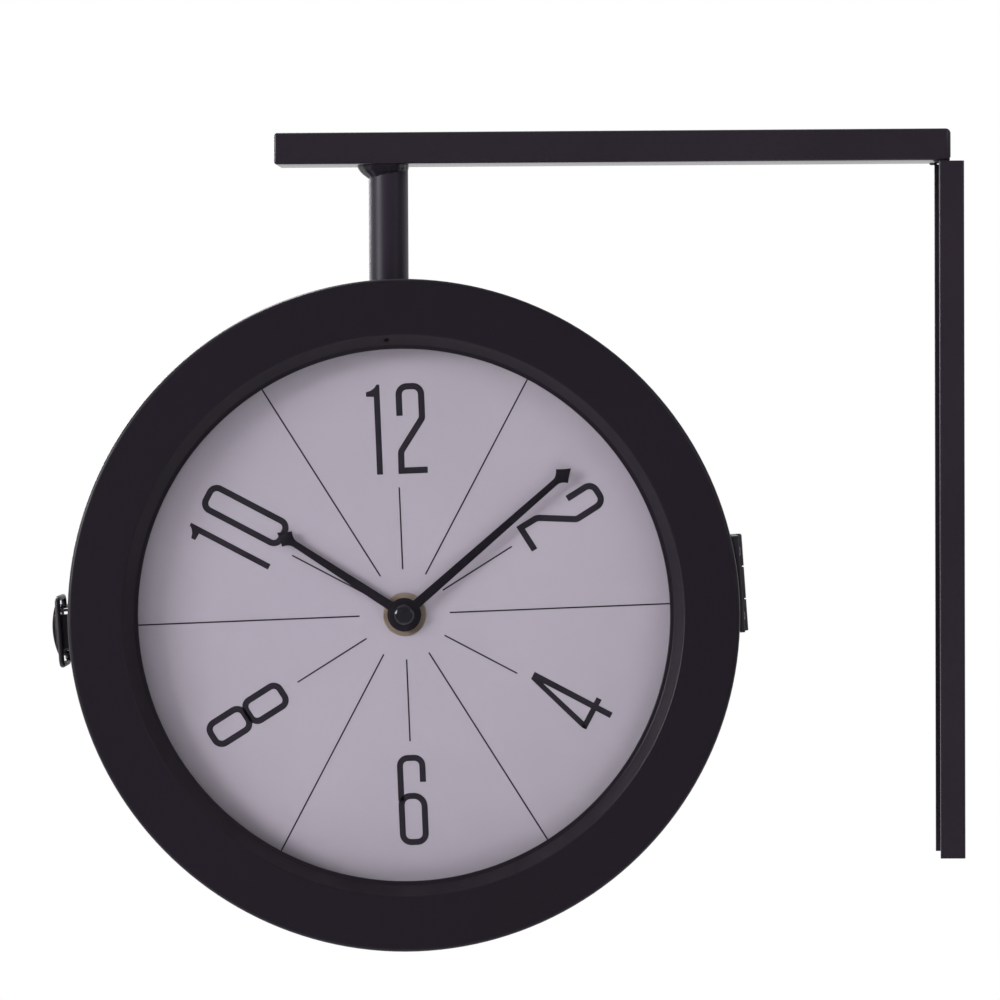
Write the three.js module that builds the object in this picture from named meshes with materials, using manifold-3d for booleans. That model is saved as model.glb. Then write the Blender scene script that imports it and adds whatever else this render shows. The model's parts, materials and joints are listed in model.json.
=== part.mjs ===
import * as THREE from "three";
import { mergeVertices } from "three/addons/utils/BufferGeometryUtils.js";
import Module from "manifold-3d";

// A double sided station clock on a wall bracket, in millimetres, +Z up.
// The origin is on the wall face of the rail at mid height. The wall is the plane X = 0, the
// clock hangs towards -X, and its front dial looks along -Y.

const wasm = await Module();
wasm.setup();

// ---------------------------------------------------------------- driving dimensions

const fit = 0.3; // clearance between pieces that seat on each other
const smallFit = 0.15; // clearance round the small turning pieces
const sheet = 1.0; // pressed steel of the case and its fittings

// Bracket
const railLength = 280;
const railWidth = 30;
const railDepth = 10;
const railWall = 1.5;
const railHoleRadius = 2.6;
const railHoleInset = 28;
const armWidth = 28;
const armHeight = 12.7;
const armLength = 271.8;
const armWall = 1.2;
const armCorner = 1;
const armStandOff = 5.2; // from the wall to the arm's end, which rests on the rail's flanges
const endPlate = 1.5;
const stemRadius = 8;
const stemWall = 1.6;
const stemSetBack = 45.3; // from the arm's free end to the stem's axis
const weldLeg = 3.2;
const weldThroat = 0.35; // share of the leg where the bead is hollowed
const lockNutAcross = 22;
const lockNutHeight = 5;
const saddleRadius = 13.5;
const saddleHeight = 3.5;
const stemThreadTail = 2; // thread that stands out under the lock nut

// Case
const caseRadius = 134.1;
const caseDepth = 74;
const seamOffset = 16; // the two shells part this far in front of the middle
const seamGap = 0.4;
const caseOffset = 7; // the case's centre lies this far towards the wall from the stem's axis
const caseDrop = 181; // from the arm's underside down to the case's centre
const caseRoll = 2.15; // degrees that the case hangs turned, anticlockwise from the front
const edgeRadius = 1.6;
const seamFlange = 1.6;
const faceWidth = 22.1; // flat ring from the case's side in to the bevel
const bevelWidth = 4.1;
const bevelDepth = 5;
const lipWidth = 1.6;
const lensLap = 6.3; // how far the glass reaches out behind the lip
const dialDepth = 14; // from the face ring back to the printed face of the dial
const glassThickness = 2;
const spacerWidth = 4;
const dialThickness = 0.8;
const carrierFlange = 10;
const tabReach = 5;
const tabWidth = 12;
const tabCount = 4;
const bezelScrewRadius = 1.05;
const bezelScrewHead = 0.5;
const bezelScrewCrown = 0.75; // radius of the head's flat top
const bezelScrewShank = 0.5;
const bezelScrewAngle = 1; // degrees from the dial's twelve, anticlockwise

// Movement
const movementSide = 56;
const movementWall = 1.5;
const movementCorner = 3;
const batteryRadius = 7.1;
const batteryLength = 49.2;
const batteryNub = 1.1;
const batteryNubRadius = 2.7;
const boardWidth = 15;
const boardThickness = 1;
const coilRadius = 4;
const coilLength = 14;
const coilFlange = 1;
const coilWinding = 3.1;
const bushRadius = 3.9;
const bushBore = 2.2;
const bushFlange = 6;
const bushStandOut = 2.4;
const washerRadius = 8.7;
const washerThickness = 0.6;
const bushNutAcross = 10;
const bushNutHeight = 1.2;
const wheelDistance = 11; // between the centre arbor and the minute wheel's arbor
const cannonTeeth = 10;
const minuteWheelTeeth = 30;
const pinionTeeth = 8;
const hourWheelTeeth = 32;
const toothTip = 0.75; // in modules, out from the pitch circle
const toothRoot = 1.05;
const toothTipHalf = 0.12; // in tooth pitches
const toothRootHalf = 0.32;
const wheelThickness = 1;
const wheelGap = 0.8;
const minuteShaft = 1.2;
const hourPipe = 1.9;
const setArbor = 1.5;
const knobRadius = 5.5;
const knobHeight = 3.2;
const knobRibs = 20;
const knobClearance = 2.9; // from each knob's end to the middle of the case

// Hands
const handThickness = 0.4;
const hourLength = 60.7;
const hourHub = 6.75;
const hourAngle = 305.2; // degrees clockwise from the dial's twelve
const minuteLength = 88.9;
const minuteHub = 6;
const minuteAngle = 51.1;
const handRootHalf = 1.9;
const handNeckHalf = 1.35;
const spadeHalf = 3.7;
const spadeLength = 8;
const spadeShoulder = 4.8; // from the tip back to the widest place
const capRadius = 4.15;
const capHeight = 1.3;

// Hinge and latch, which share one line across the case
const fittingTilt = 1.75; // degrees that this line is turned past the case's own roll
const fittingRise = 2.8;
const hingeLength = 38.6;
const hingeKnuckles = 3;
const knuckleGap = 0.5;
const knuckleRadius = 1.3;
const hingePinRadius = 0.6;
const pinFit = 0.2; // clearance round the pins of the hinge and the latch
const hingePinHead = 1;
const leafWidth = 13;
const rivetRadius = 1.7;
const rivetHeight = 0.6;
const latchPinRadius = 0.9;
const latchPinHead = 1.3;
const latchEarSpan = 16.8; // over both ears
const latchBaseLength = 23;
const latchPivotHeight = 6; // above the case's side
const latchPivotInset = 10; // from the seam back to the lever's pivot
const latchSetBack = 2; // from the seam back to the base plate
const latchEyeRadius = 2.2;
const leverLength = 19;
const leverHeight = 10.5;
const leverCrown = 1.6;
const bailWire = 0.8;
const bailWidth = 28.4;
const bailThrow = 4; // from the lever's pivot back to the bail's
const bailSink = 0.6; // how far the bail's pivot lies under the lever's
const bailReach = 9; // from the seam forward to the bail's cross wire
const bailHeight = 4.8;
const bailCorner = 2.59;
const catchWidth = 14;
const catchHeight = 6.6;

// Facets
const caseFacets = 60;
const ringFacets = 40;
const midFacets = 20;
const fineFacets = 12;
const wireSteps = 40;

// ---------------------------------------------------------------- finishes

function finish(color, roughness, metalness) {
  return new THREE.MeshStandardMaterial({ color, roughness, metalness });
}

const blackCoat = finish(0x26252a, 0.45, 0.1);
const fittingBlack = finish(0x2b2a2d, 0.4, 0.4);
const lensGlass = finish(0xe8edf0, 0.05, 0);
const dialPaint = finish(0xaca5b0, 0.7, 0);
const spacerBlack = finish(0x1d1c20, 0.6, 0);
const movementPlastic = finish(0x1a1a1c, 0.5, 0);
const whitePlastic = finish(0xdedcd6, 0.5, 0);
const brassMetal = finish(0xa8854a, 0.35, 0.9);
const handPaint = finish(0x141418, 0.4, 0.2);
const capGloss = finish(0x121216, 0.15, 0.3);
const steelMetal = finish(0xa6a8ab, 0.35, 0.9);
const batteryCan = finish(0x8f9196, 0.35, 0.8);
const copperWire = finish(0xa4562c, 0.4, 0.8);
const boardGreen = finish(0x2c5a3c, 0.6, 0);

// ---------------------------------------------------------------- geometry helpers

const radians = THREE.MathUtils.degToRad;

/** A closed geometry as a solid that can be joined and cut. */
function solidOf(geometry) {
  const bare = geometry.clone();
  bare.deleteAttribute("normal");
  bare.deleteAttribute("uv");
  const merged = mergeVertices(bare, 1e-4);
  return new wasm.Manifold(
    new wasm.Mesh({
      numProp: 3,
      vertProperties: merged.attributes.position.array,
      triVerts: new Uint32Array(merged.index.array),
    }),
  );
}

/** A solid back as a geometry. */
function geometryOf(solid) {
  const mesh = solid.getMesh();
  const geometry = new THREE.BufferGeometry();
  geometry.setAttribute("position", new THREE.BufferAttribute(mesh.vertProperties, 3));
  geometry.setIndex(new THREE.BufferAttribute(mesh.triVerts, 1));
  geometry.computeVertexNormals();
  return geometry;
}

function join(first, ...rest) {
  return geometryOf(rest.reduce((sum, part) => sum.add(solidOf(part)), solidOf(first)));
}

function cut(first, ...tools) {
  return geometryOf(tools.reduce((left, tool) => left.subtract(solidOf(tool)), solidOf(first)));
}

/** A box between two values on each axis. */
function box(x0, x1, y0, y1, z0, z1) {
  const geometry = new THREE.BoxGeometry(x1 - x0, y1 - y0, z1 - z0);
  return geometry.translate((x0 + x1) / 2, (y0 + y1) / 2, (z0 + z1) / 2);
}

/** A solid turned round the Y axis from a closed profile of [radius, out], out being along -Y. */
function turned(profile, facets) {
  const area = profile.reduce((sum, [r, out], i) => {
    const [nextR, nextOut] = profile[(i + 1) % profile.length];
    return sum + r * nextOut - nextR * out;
  }, 0);
  const points = profile.map(([r, out]) => new THREE.Vector2(r, -out));
  points.push(points[0].clone());
  if (area > 0) points.reverse();
  return new THREE.LatheGeometry(points, facets);
}

/** A round bar round the Y axis, from one distance out to another. */
function bar(radius, out0, out1, facets) {
  return turned([[0, out0], [radius, out0], [radius, out1], [0, out1]], facets);
}

/** A plate whose outline lies in the XZ plane, from one distance out to another. */
function plate(outline, out0, out1) {
  const geometry = new THREE.ExtrudeGeometry(outline, {
    depth: out1 - out0,
    bevelEnabled: false,
    curveSegments: 6,
  });
  return geometry.translate(0, 0, out0).rotateX(Math.PI / 2);
}

/** A round bar along the Z axis at (x, y). */
function pinZ(radius, x, y, z0, z1, facets) {
  const geometry = new THREE.CylinderGeometry(radius, radius, z1 - z0, facets);
  return geometry.rotateX(Math.PI / 2).translate(x, y, (z0 + z1) / 2);
}

/** A round bar along the X axis at (y, z). */
function pinX(radius, x0, x1, y, z, facets) {
  const geometry = new THREE.CylinderGeometry(radius, radius, x1 - x0, facets);
  return geometry.rotateZ(Math.PI / 2).translate((x0 + x1) / 2, y, z);
}

/** A rectangle with round corners, centred on the shape's origin. */
function roundedRectangle(width, height, radius) {
  const x = width / 2;
  const y = height / 2;
  const shape = new THREE.Shape();
  shape.moveTo(x, y - radius);
  shape.absarc(x - radius, y - radius, radius, 0, Math.PI / 2);
  shape.absarc(-x + radius, y - radius, radius, Math.PI / 2, Math.PI);
  shape.absarc(-x + radius, -y + radius, radius, Math.PI, Math.PI * 1.5);
  shape.absarc(x - radius, -y + radius, radius, Math.PI * 1.5, Math.PI * 2);
  return shape;
}

function rectangle(x0, x1, y0, y1) {
  return new THREE.Shape([
    new THREE.Vector2(x0, y0),
    new THREE.Vector2(x1, y0),
    new THREE.Vector2(x1, y1),
    new THREE.Vector2(x0, y1),
  ]);
}

/** A hexagon of a given size across its flats. */
function hexagon(across) {
  const reach = across / 2 / Math.cos(Math.PI / 6);
  const corners = [];
  for (let i = 0; i < 6; i += 1) {
    const angle = (i * Math.PI) / 3;
    corners.push(new THREE.Vector2(reach * Math.cos(angle), reach * Math.sin(angle)));
  }
  return new THREE.Shape(corners);
}

function circle(x, y, radius) {
  const path = new THREE.Path();
  path.absarc(x, y, radius, 0, Math.PI * 2);
  return path;
}

/** Adds a named piece to a group. */
function piece(group, name, geometry, material) {
  const mesh = new THREE.Mesh(geometry, material);
  mesh.name = name;
  group.add(mesh);
  return mesh;
}

// ---------------------------------------------------------------- bracket

const armUnder = railLength / 2 + fit;
const armEnd = -armStandOff - armLength;
const stemX = armEnd + stemSetBack;
const caseX = stemX + caseOffset;
const caseZ = armUnder - caseDrop;
const stemTop = armUnder - fit;
const shellInside = caseRadius - sheet;

// The saddle washer lies under the side of the case, which slopes there.
const saddleTop = caseZ + Math.sqrt((shellInside - fit) ** 2 - caseOffset ** 2);
const saddleDip = shellInside - Math.sqrt(shellInside ** 2 - (caseOffset + saddleRadius) ** 2);
const saddleUnder = saddleTop - saddleHeight - saddleDip;
const nutTop = saddleUnder - fit;
const stemFoot = nutTop - lockNutHeight - stemThreadTail;

function makeRail() {
  const half = railWidth / 2;
  const inner = half - railWall;
  const outline = new THREE.Shape([
    new THREE.Vector2(0, -half),
    new THREE.Vector2(0, half),
    new THREE.Vector2(-railDepth, half),
    new THREE.Vector2(-railDepth, inner),
    new THREE.Vector2(-railWall, inner),
    new THREE.Vector2(-railWall, -inner),
    new THREE.Vector2(-railDepth, -inner),
    new THREE.Vector2(-railDepth, -half),
  ]);
  const channel = new THREE.ExtrudeGeometry(outline, { depth: railLength, bevelEnabled: false });
  channel.translate(0, 0, -railLength / 2);
  const holeHeight = railLength / 2 - railHoleInset;
  const holes = [-holeHeight, holeHeight].map((z) =>
    pinX(railHoleRadius, -2 * railWall, railWall, 0, z, fineFacets),
  );
  return cut(channel, ...holes);
}

function makeArmTube() {
  const outline = roundedRectangle(armWidth, armHeight, armCorner);
  outline.holes.push(rectangle(
    -armWidth / 2 + armWall,
    armWidth / 2 - armWall,
    -armHeight / 2 + armWall,
    armHeight / 2 - armWall,
  ));
  const tube = new THREE.ExtrudeGeometry(outline, {
    depth: armLength,
    bevelEnabled: false,
    curveSegments: 4,
  });
  // The outline's width turns to Y and its height to Z; the length runs along +X.
  tube.rotateX(Math.PI / 2).rotateZ(Math.PI / 2);
  return tube.translate(armEnd, 0, armUnder + armHeight / 2);
}

function makeArmEndPlate(x0) {
  const halfWidth = armWidth / 2 - armWall - fit;
  const low = armUnder + armWall + fit;
  const high = armUnder + armHeight - armWall - fit;
  return box(x0, x0 + endPlate, -halfWidth, halfWidth, low, high);
}

function makeStem() {
  const profile = [
    [stemRadius - stemWall, -stemTop],
    [stemRadius, -stemTop],
    [stemRadius, -stemFoot],
    [stemRadius - stemWall, -stemFoot],
  ];
  return uprightAtStem(turned(profile, midFacets));
}

/** Stands a piece turned round the Y axis upright on the stem's axis; its out is then down. */
function uprightAtStem(geometry) {
  return geometry.rotateX(Math.PI / 2).translate(stemX, 0, 0);
}

function makeStemWeld() {
  const inner = stemRadius + smallFit;
  const profile = [
    [inner, -stemTop],
    [inner + weldLeg, -stemTop],
    [inner + weldLeg * weldThroat, -stemTop + weldLeg * weldThroat],
    [inner, -stemTop + weldLeg],
  ];
  return uprightAtStem(turned(profile, midFacets));
}

function makeSaddle() {
  const disc = turned([
    [stemRadius + fit, -saddleUnder],
    [stemRadius + fit, -saddleTop - saddleHeight],
    [saddleRadius, -saddleTop - saddleHeight],
    [saddleRadius, -saddleUnder],
  ], midFacets);
  const inside = bar(shellInside - fit, -caseDepth / 2, caseDepth / 2, caseFacets * 2);
  inside.translate(caseX, 0, caseZ);
  return geometryOf(solidOf(uprightAtStem(disc)).intersect(solidOf(inside)));
}

function makeLockNut() {
  const outline = hexagon(lockNutAcross);
  outline.holes.push(circle(0, 0, stemRadius + smallFit));
  const nut = new THREE.ExtrudeGeometry(outline, {
    depth: lockNutHeight,
    bevelEnabled: false,
    curveSegments: 8,
  });
  return nut.translate(stemX, 0, nutTop - lockNutHeight);
}

function makeBracket() {
  const group = new THREE.Group();
  piece(group, "wall_rail", makeRail(), blackCoat);
  piece(group, "arm_tube", makeArmTube(), blackCoat);
  piece(group, "arm_end_plate_free", makeArmEndPlate(armEnd), blackCoat);
  piece(group, "arm_end_plate_wall", makeArmEndPlate(-armStandOff - endPlate), blackCoat);
  piece(group, "stem_tube", makeStem(), blackCoat);
  piece(group, "stem_weld", makeStemWeld(), blackCoat);
  piece(group, "stem_saddle_washer", makeSaddle(), steelMetal);
  piece(group, "stem_lock_nut", makeLockNut(), steelMetal);
  return group;
}

// ---------------------------------------------------------------- case

const bevelOuterRadius = caseRadius - faceWidth;
const bevelInnerRadius = bevelOuterRadius - bevelWidth;
const openingRadius = bevelInnerRadius - lipWidth;
const lensRadius = openingRadius + lensLap; // glass, spacer and dial share it

// Distances out of the dial's printed face, in the order of the stack.
const faceOut = dialDepth;
const lipOut = faceOut - bevelDepth;
const glassOut = lipOut - sheet - fit;
const glassIn = glassOut - glassThickness;
const tabOut = -dialThickness - fit;
const carrierTop = faceOut - sheet - fit;

/** The pressed shell of one half: side, round edge, face ring, bevel and lip. */
function makeShell(depth) {
  const rim = faceOut - depth;
  const edge = (radius, centreR) => {
    const points = [];
    const steps = 3;
    for (let i = 0; i <= steps; i += 1) {
      const angle = (i * Math.PI) / 2 / steps;
      points.push([
        centreR + radius * Math.cos(angle),
        faceOut - edgeRadius + radius * Math.sin(angle),
      ]);
    }
    return points;
  };
  const slope = sheet / Math.sin(Math.atan2(bevelDepth, bevelOuterRadius - bevelInnerRadius));
  const outside = edge(edgeRadius, caseRadius - edgeRadius);
  const inside = edge(edgeRadius - sheet, caseRadius - edgeRadius).reverse();
  return turned([
    [caseRadius, rim],
    ...outside,
    [bevelOuterRadius, faceOut],
    [bevelInnerRadius, lipOut],
    [openingRadius, lipOut],
    [openingRadius, lipOut - sheet],
    [bevelInnerRadius + slope / 3, lipOut - sheet],
    [bevelOuterRadius + slope / 3, faceOut - sheet],
    ...inside,
    [shellInside, rim + sheet],
    [shellInside - seamFlange, rim + sheet],
    [shellInside - seamFlange, rim],
  ], caseFacets);
}

/** Moves a piece turned round the Y axis onto the middle of the bevel, square to it. */
function onBevel(geometry) {
  const lean = Math.atan2(bevelOuterRadius - bevelInnerRadius, bevelDepth);
  const middle = (bevelOuterRadius + bevelInnerRadius) / 2;
  geometry.rotateX(Math.PI / 2 - lean);
  geometry.translate(0, -(faceOut - bevelDepth / 2), middle);
  return geometry.rotateY(-radians(bezelScrewAngle));
}

function makeBezelScrew() {
  return onBevel(turned([
    [0, -2 * sheet],
    [bezelScrewShank, -2 * sheet],
    [bezelScrewShank, fit],
    [bezelScrewRadius, fit],
    [bezelScrewRadius, fit + bezelScrewHead / 2],
    [bezelScrewCrown, fit + bezelScrewHead],
    [0, fit + bezelScrewHead],
  ], fineFacets));
}

/** The ring behind the face that holds the glass, the spacer and the dial. */
function makeCarrier() {
  const inner = lensRadius + fit;
  const outer = inner + sheet;
  const ring = turned([
    [inner, carrierTop],
    [outer + carrierFlange, carrierTop],
    [outer + carrierFlange, carrierTop - sheet],
    [outer, carrierTop - sheet],
    [outer, tabOut - sheet],
    [inner, tabOut - sheet],
  ], ringFacets);
  const tabs = [];
  const half = tabWidth / 2;
  for (let i = 0; i < tabCount; i += 1) {
    const tab = box(inner - tabReach, inner + sheet / 2, -tabOut, sheet - tabOut, -half, half);
    tabs.push(tab.rotateY(((i + 0.5) * 2 * Math.PI) / tabCount));
  }
  return join(ring, ...tabs);
}

function ringAbout(inner, outer, out0, out1, facets) {
  return turned([[inner, out0], [outer, out0], [outer, out1], [inner, out1]], facets);
}

// ---------------------------------------------------------------- movement

const movementTop = -dialThickness - fit;
const movementFloor = movementTop - movementWall;
const knobEnd = -(caseDepth / 2 - dialDepth - knobClearance);
const knobOut = knobEnd + knobHeight;
const movementBack = knobOut + fit;
const coverOut = movementBack + movementWall;
const bayHalf = batteryRadius + 2 * fit;
const bayCentre = -movementSide / 2 + movementWall + bayHalf;
const chamberLow = bayCentre + bayHalf + movementWall;
const chamberHalf = movementSide / 2 - movementWall;
const hourModule = (2 * wheelDistance) / (hourWheelTeeth + pinionTeeth);
const minuteModule = (2 * wheelDistance) / (cannonTeeth + minuteWheelTeeth);
const bushIn = movementFloor - fit - sheet;
const hourWheelOut = bushIn - fit;
const hourWheelIn = hourWheelOut - wheelThickness;
const cannonOut = hourWheelIn - wheelGap;
const cannonIn = cannonOut - wheelThickness;
const hourHandIn = bushStandOut + fit;
const hourHandOut = hourHandIn + handThickness;
const minuteHandIn = hourHandOut + fit;
const minuteHandOut = minuteHandIn + handThickness;
const capIn = minuteHandOut + smallFit;

function makeMovementCase() {
  const outline = roundedRectangle(movementSide, movementSide, movementCorner);
  outline.holes.push(circle(0, 0, bushRadius + fit));
  const shell = plate(outline, movementBack, movementTop);
  const open = -movementBack + sheet;
  const bay = box(-chamberHalf, chamberHalf, -movementFloor, open, bayCentre - bayHalf, bayCentre + bayHalf);
  const chamber = box(-chamberHalf, chamberHalf, -movementFloor, open, chamberLow, chamberHalf);
  return cut(shell, bay, chamber);
}

function makeMovementCover() {
  const half = chamberHalf - fit;
  const outline = rectangle(-half, half, chamberLow + fit, chamberHalf - fit);
  outline.holes.push(circle(0, wheelDistance, setArbor + fit));
  return plate(outline, movementBack, coverOut);
}

/** A toothed outline with straight-sided teeth, the first tooth at a given angle. */
function toothedWheel(teeth, module, firstTooth, centreY) {
  const pitchRadius = (teeth * module) / 2;
  const tip = pitchRadius + toothTip * module;
  const root = pitchRadius - toothRoot * module;
  const toothAngle = (2 * Math.PI) / teeth;
  const corners = [
    [root, -toothRootHalf],
    [tip, -toothTipHalf],
    [tip, toothTipHalf],
    [root, toothRootHalf],
  ];
  const points = [];
  for (let i = 0; i < teeth; i += 1) {
    for (const [radius, share] of corners) {
      const angle = firstTooth + (i + share) * toothAngle;
      points.push(new THREE.Vector2(
        radius * Math.cos(angle),
        centreY + radius * Math.sin(angle),
      ));
    }
  }
  return new THREE.Shape(points);
}

function makeBush() {
  return turned([
    [bushBore, bushIn],
    [bushFlange, bushIn],
    [bushFlange, bushIn + sheet],
    [bushRadius, bushIn + sheet],
    [bushRadius, bushStandOut],
    [bushBore, bushStandOut],
  ], midFacets);
}

function makeBushNut() {
  const outline = hexagon(bushNutAcross);
  outline.holes.push(circle(0, 0, bushRadius + smallFit));
  const seat = washerThickness + 2 * smallFit;
  return plate(outline, seat, seat + bushNutHeight);
}

function makeHourWheel() {
  const gap = Math.PI / 2 + Math.PI / hourWheelTeeth;
  const wheel = plate(toothedWheel(hourWheelTeeth, hourModule, gap, 0), hourWheelIn, hourWheelOut);
  const pipe = bar(hourPipe, hourWheelIn, hourHandOut, fineFacets);
  const bore = bar(minuteShaft + smallFit, hourWheelIn - sheet, hourHandOut + sheet, fineFacets);
  return cut(join(wheel, pipe), bore);
}

function makeMinuteArbor() {
  const teeth = toothedWheel(cannonTeeth, minuteModule, Math.PI / 2, 0);
  const cannon = plate(teeth, cannonIn - smallFit, cannonOut + smallFit);
  const shaft = bar(minuteShaft, coverOut + fit, capIn + capHeight / 2, fineFacets);
  return join(cannon, shaft);
}

function makeMinuteWheel() {
  const gap = -Math.PI / 2 + Math.PI / minuteWheelTeeth;
  const teeth = toothedWheel(minuteWheelTeeth, minuteModule, gap, wheelDistance);
  const wheel = plate(teeth, cannonIn, cannonOut);
  const leaves = toothedWheel(pinionTeeth, hourModule, -Math.PI / 2, wheelDistance);
  const pinion = plate(leaves, cannonOut - smallFit, hourWheelOut + smallFit);
  const arbor = bar(setArbor, knobOut - knobHeight + sheet, movementFloor - fit, fineFacets);
  return join(wheel, pinion, arbor.translate(0, 0, wheelDistance));
}

function makeKnob() {
  const points = [];
  for (let i = 0; i < knobRibs * 2; i += 1) {
    const radius = i % 2 ? knobRadius : knobRadius - sheet / 2;
    const angle = (i * Math.PI) / knobRibs;
    points.push(new THREE.Vector2(radius * Math.cos(angle), radius * Math.sin(angle)));
  }
  const body = plate(new THREE.Shape(points), knobOut - knobHeight, knobOut);
  const bore = bar(setArbor + smallFit, knobOut - knobHeight + sheet - fit, knobOut + sheet, fineFacets);
  return cut(body, bore).translate(0, 0, wheelDistance);
}

/** A piece turned round the X axis from a profile of [radius, x]. */
function turnedAlongX(profile, x, out, z, facets) {
  return turned(profile, facets).rotateZ(Math.PI / 2).translate(x, -out, z);
}

function makeBattery() {
  const half = batteryLength / 2;
  return turnedAlongX([
    [0, -half],
    [batteryRadius, -half],
    [batteryRadius, half],
    [batteryNubRadius, half],
    [batteryNubRadius, half + batteryNub],
    [0, half + batteryNub],
  ], 0, movementFloor - fit - batteryRadius, bayCentre, midFacets);
}

function makeCoil() {
  const half = coilLength / 2;
  const x = chamberHalf - fit - half;
  const z = chamberHalf - fit - coilRadius;
  return turnedAlongX([
    [0, -half],
    [coilRadius, -half],
    [coilRadius, -half + coilFlange],
    [coilWinding, -half + coilFlange],
    [coilWinding, half - coilFlange],
    [coilRadius, half - coilFlange],
    [coilRadius, half],
    [0, half],
  ], x, movementFloor - fit - coilRadius, z, fineFacets);
}

function makeBoard() {
  const x0 = -chamberHalf + fit;
  const top = movementFloor - fit;
  const outline = rectangle(x0, x0 + boardWidth, chamberLow + fit, chamberHalf - fit);
  return plate(outline, top - boardThickness, top);
}

// ---------------------------------------------------------------- hands

/** A flat spade hand pointing along +Z, with a round hub and a hole. */
function makeHand(length, hub, hole, out0, angle) {
  const rootZ = Math.sqrt(hub ** 2 - handRootHalf ** 2);
  const turn = Math.asin(handRootHalf / hub);
  const outline = new THREE.Shape();
  outline.moveTo(handRootHalf, rootZ);
  outline.lineTo(handNeckHalf, length - spadeLength);
  outline.lineTo(spadeHalf, length - spadeShoulder);
  outline.lineTo(0, length);
  outline.lineTo(-spadeHalf, length - spadeShoulder);
  outline.lineTo(-handNeckHalf, length - spadeLength);
  outline.lineTo(-handRootHalf, rootZ);
  outline.absarc(0, 0, hub, Math.PI / 2 + turn, Math.PI * 2.5 - turn, false);
  outline.holes.push(circle(0, 0, hole));
  const hand = new THREE.ExtrudeGeometry(outline, {
    depth: handThickness,
    bevelEnabled: false,
    curveSegments: 8,
  });
  return hand.translate(0, 0, out0).rotateX(Math.PI / 2).rotateY(radians(angle));
}

function makeCap() {
  const points = [[0, capIn + capHeight]];
  const steps = 4;
  for (let i = 1; i <= steps; i += 1) {
    const angle = (i * Math.PI) / 2 / steps;
    points.push([
      capRadius * Math.sin(angle),
      capIn + smallFit + (capHeight - smallFit) * Math.cos(angle),
    ]);
  }
  points.push([capRadius, capIn]);
  points.push([minuteShaft + smallFit, capIn]);
  points.push([minuteShaft + smallFit, capIn + capHeight / 2 + smallFit]);
  points.push([0, capIn + capHeight / 2 + smallFit]);
  return turned(points, midFacets);
}

// ---------------------------------------------------------------- one half of the clock

/** Everything behind and in front of one dial; the group's origin is the dial's centre. */
function makeHalf(side, shell) {
  const group = new THREE.Group();
  const add = (name, geometry, material) => piece(group, side + "_" + name, geometry, material);
  add("shell", shell, blackCoat);
  add("bezel_screw", makeBezelScrew(), fittingBlack);
  add("glass", bar(lensRadius, glassIn, glassOut, ringFacets), lensGlass);
  const spacerIn = lensRadius - spacerWidth;
  add("spacer_ring", ringAbout(spacerIn, lensRadius, fit, glassIn - fit, ringFacets), spacerBlack);
  add("dial_carrier", makeCarrier(), fittingBlack);
  const dial = ringAbout(bushRadius + fit, lensRadius, -dialThickness, 0, ringFacets);
  add("dial_plate", dial, dialPaint);

  add("movement_case", makeMovementCase(), movementPlastic);
  add("movement_cover", makeMovementCover(), movementPlastic);
  add("battery", makeBattery(), batteryCan);
  add("drive_coil", makeCoil(), copperWire);
  add("circuit_board", makeBoard(), boardGreen);
  add("centre_bush", makeBush(), brassMetal);
  const washerHole = bushRadius + smallFit;
  const washerOut = smallFit + washerThickness;
  add("bush_washer", ringAbout(washerHole, washerRadius, smallFit, washerOut, midFacets), brassMetal);
  add("bush_nut", makeBushNut(), brassMetal);
  add("hour_wheel", makeHourWheel(), whitePlastic);
  add("minute_arbor", makeMinuteArbor(), whitePlastic);
  add("minute_wheel", makeMinuteWheel(), whitePlastic);
  add("setting_knob", makeKnob(), whitePlastic);

  const hourHole = hourPipe + smallFit;
  const minuteHole = minuteShaft + smallFit;
  add("hour_hand", makeHand(hourLength, hourHub, hourHole, hourHandIn, hourAngle), handPaint);
  add("minute_hand", makeHand(minuteLength, minuteHub, minuteHole, minuteHandIn, minuteAngle), handPaint);
  add("hand_cap", makeCap(), capGloss);
  return group;
}

/** The hole for a bezel screw, cut through a shell's bevel. */
function withScrewHole(shell) {
  return cut(shell, onBevel(bar(bezelScrewShank + fit, -2 * sheet, 2 * sheet, fineFacets)));
}

/** The rear shell also has the stem's hole in its side. */
function makeRearShell() {
  const depth = caseDepth / 2 + seamOffset - seamGap / 2;
  const shell = withScrewHole(makeShell(depth));
  // In the rear half's own frame the stem leans the other way and stands behind the dial.
  const hole = new THREE.CylinderGeometry(
    stemRadius + fit,
    stemRadius + fit,
    4 * saddleRadius,
    midFacets,
  );
  hole.rotateX(Math.PI / 2).translate(-caseOffset, 0, caseRadius);
  hole.rotateY(radians(caseRoll)).rotateZ(Math.PI).translate(0, caseDepth / 2 - dialDepth, 0);
  return cut(shell, hole);
}

// ---------------------------------------------------------------- hinge

const hingeX = caseRadius + fit + knuckleRadius;
const leafX = caseRadius + fit;

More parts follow.
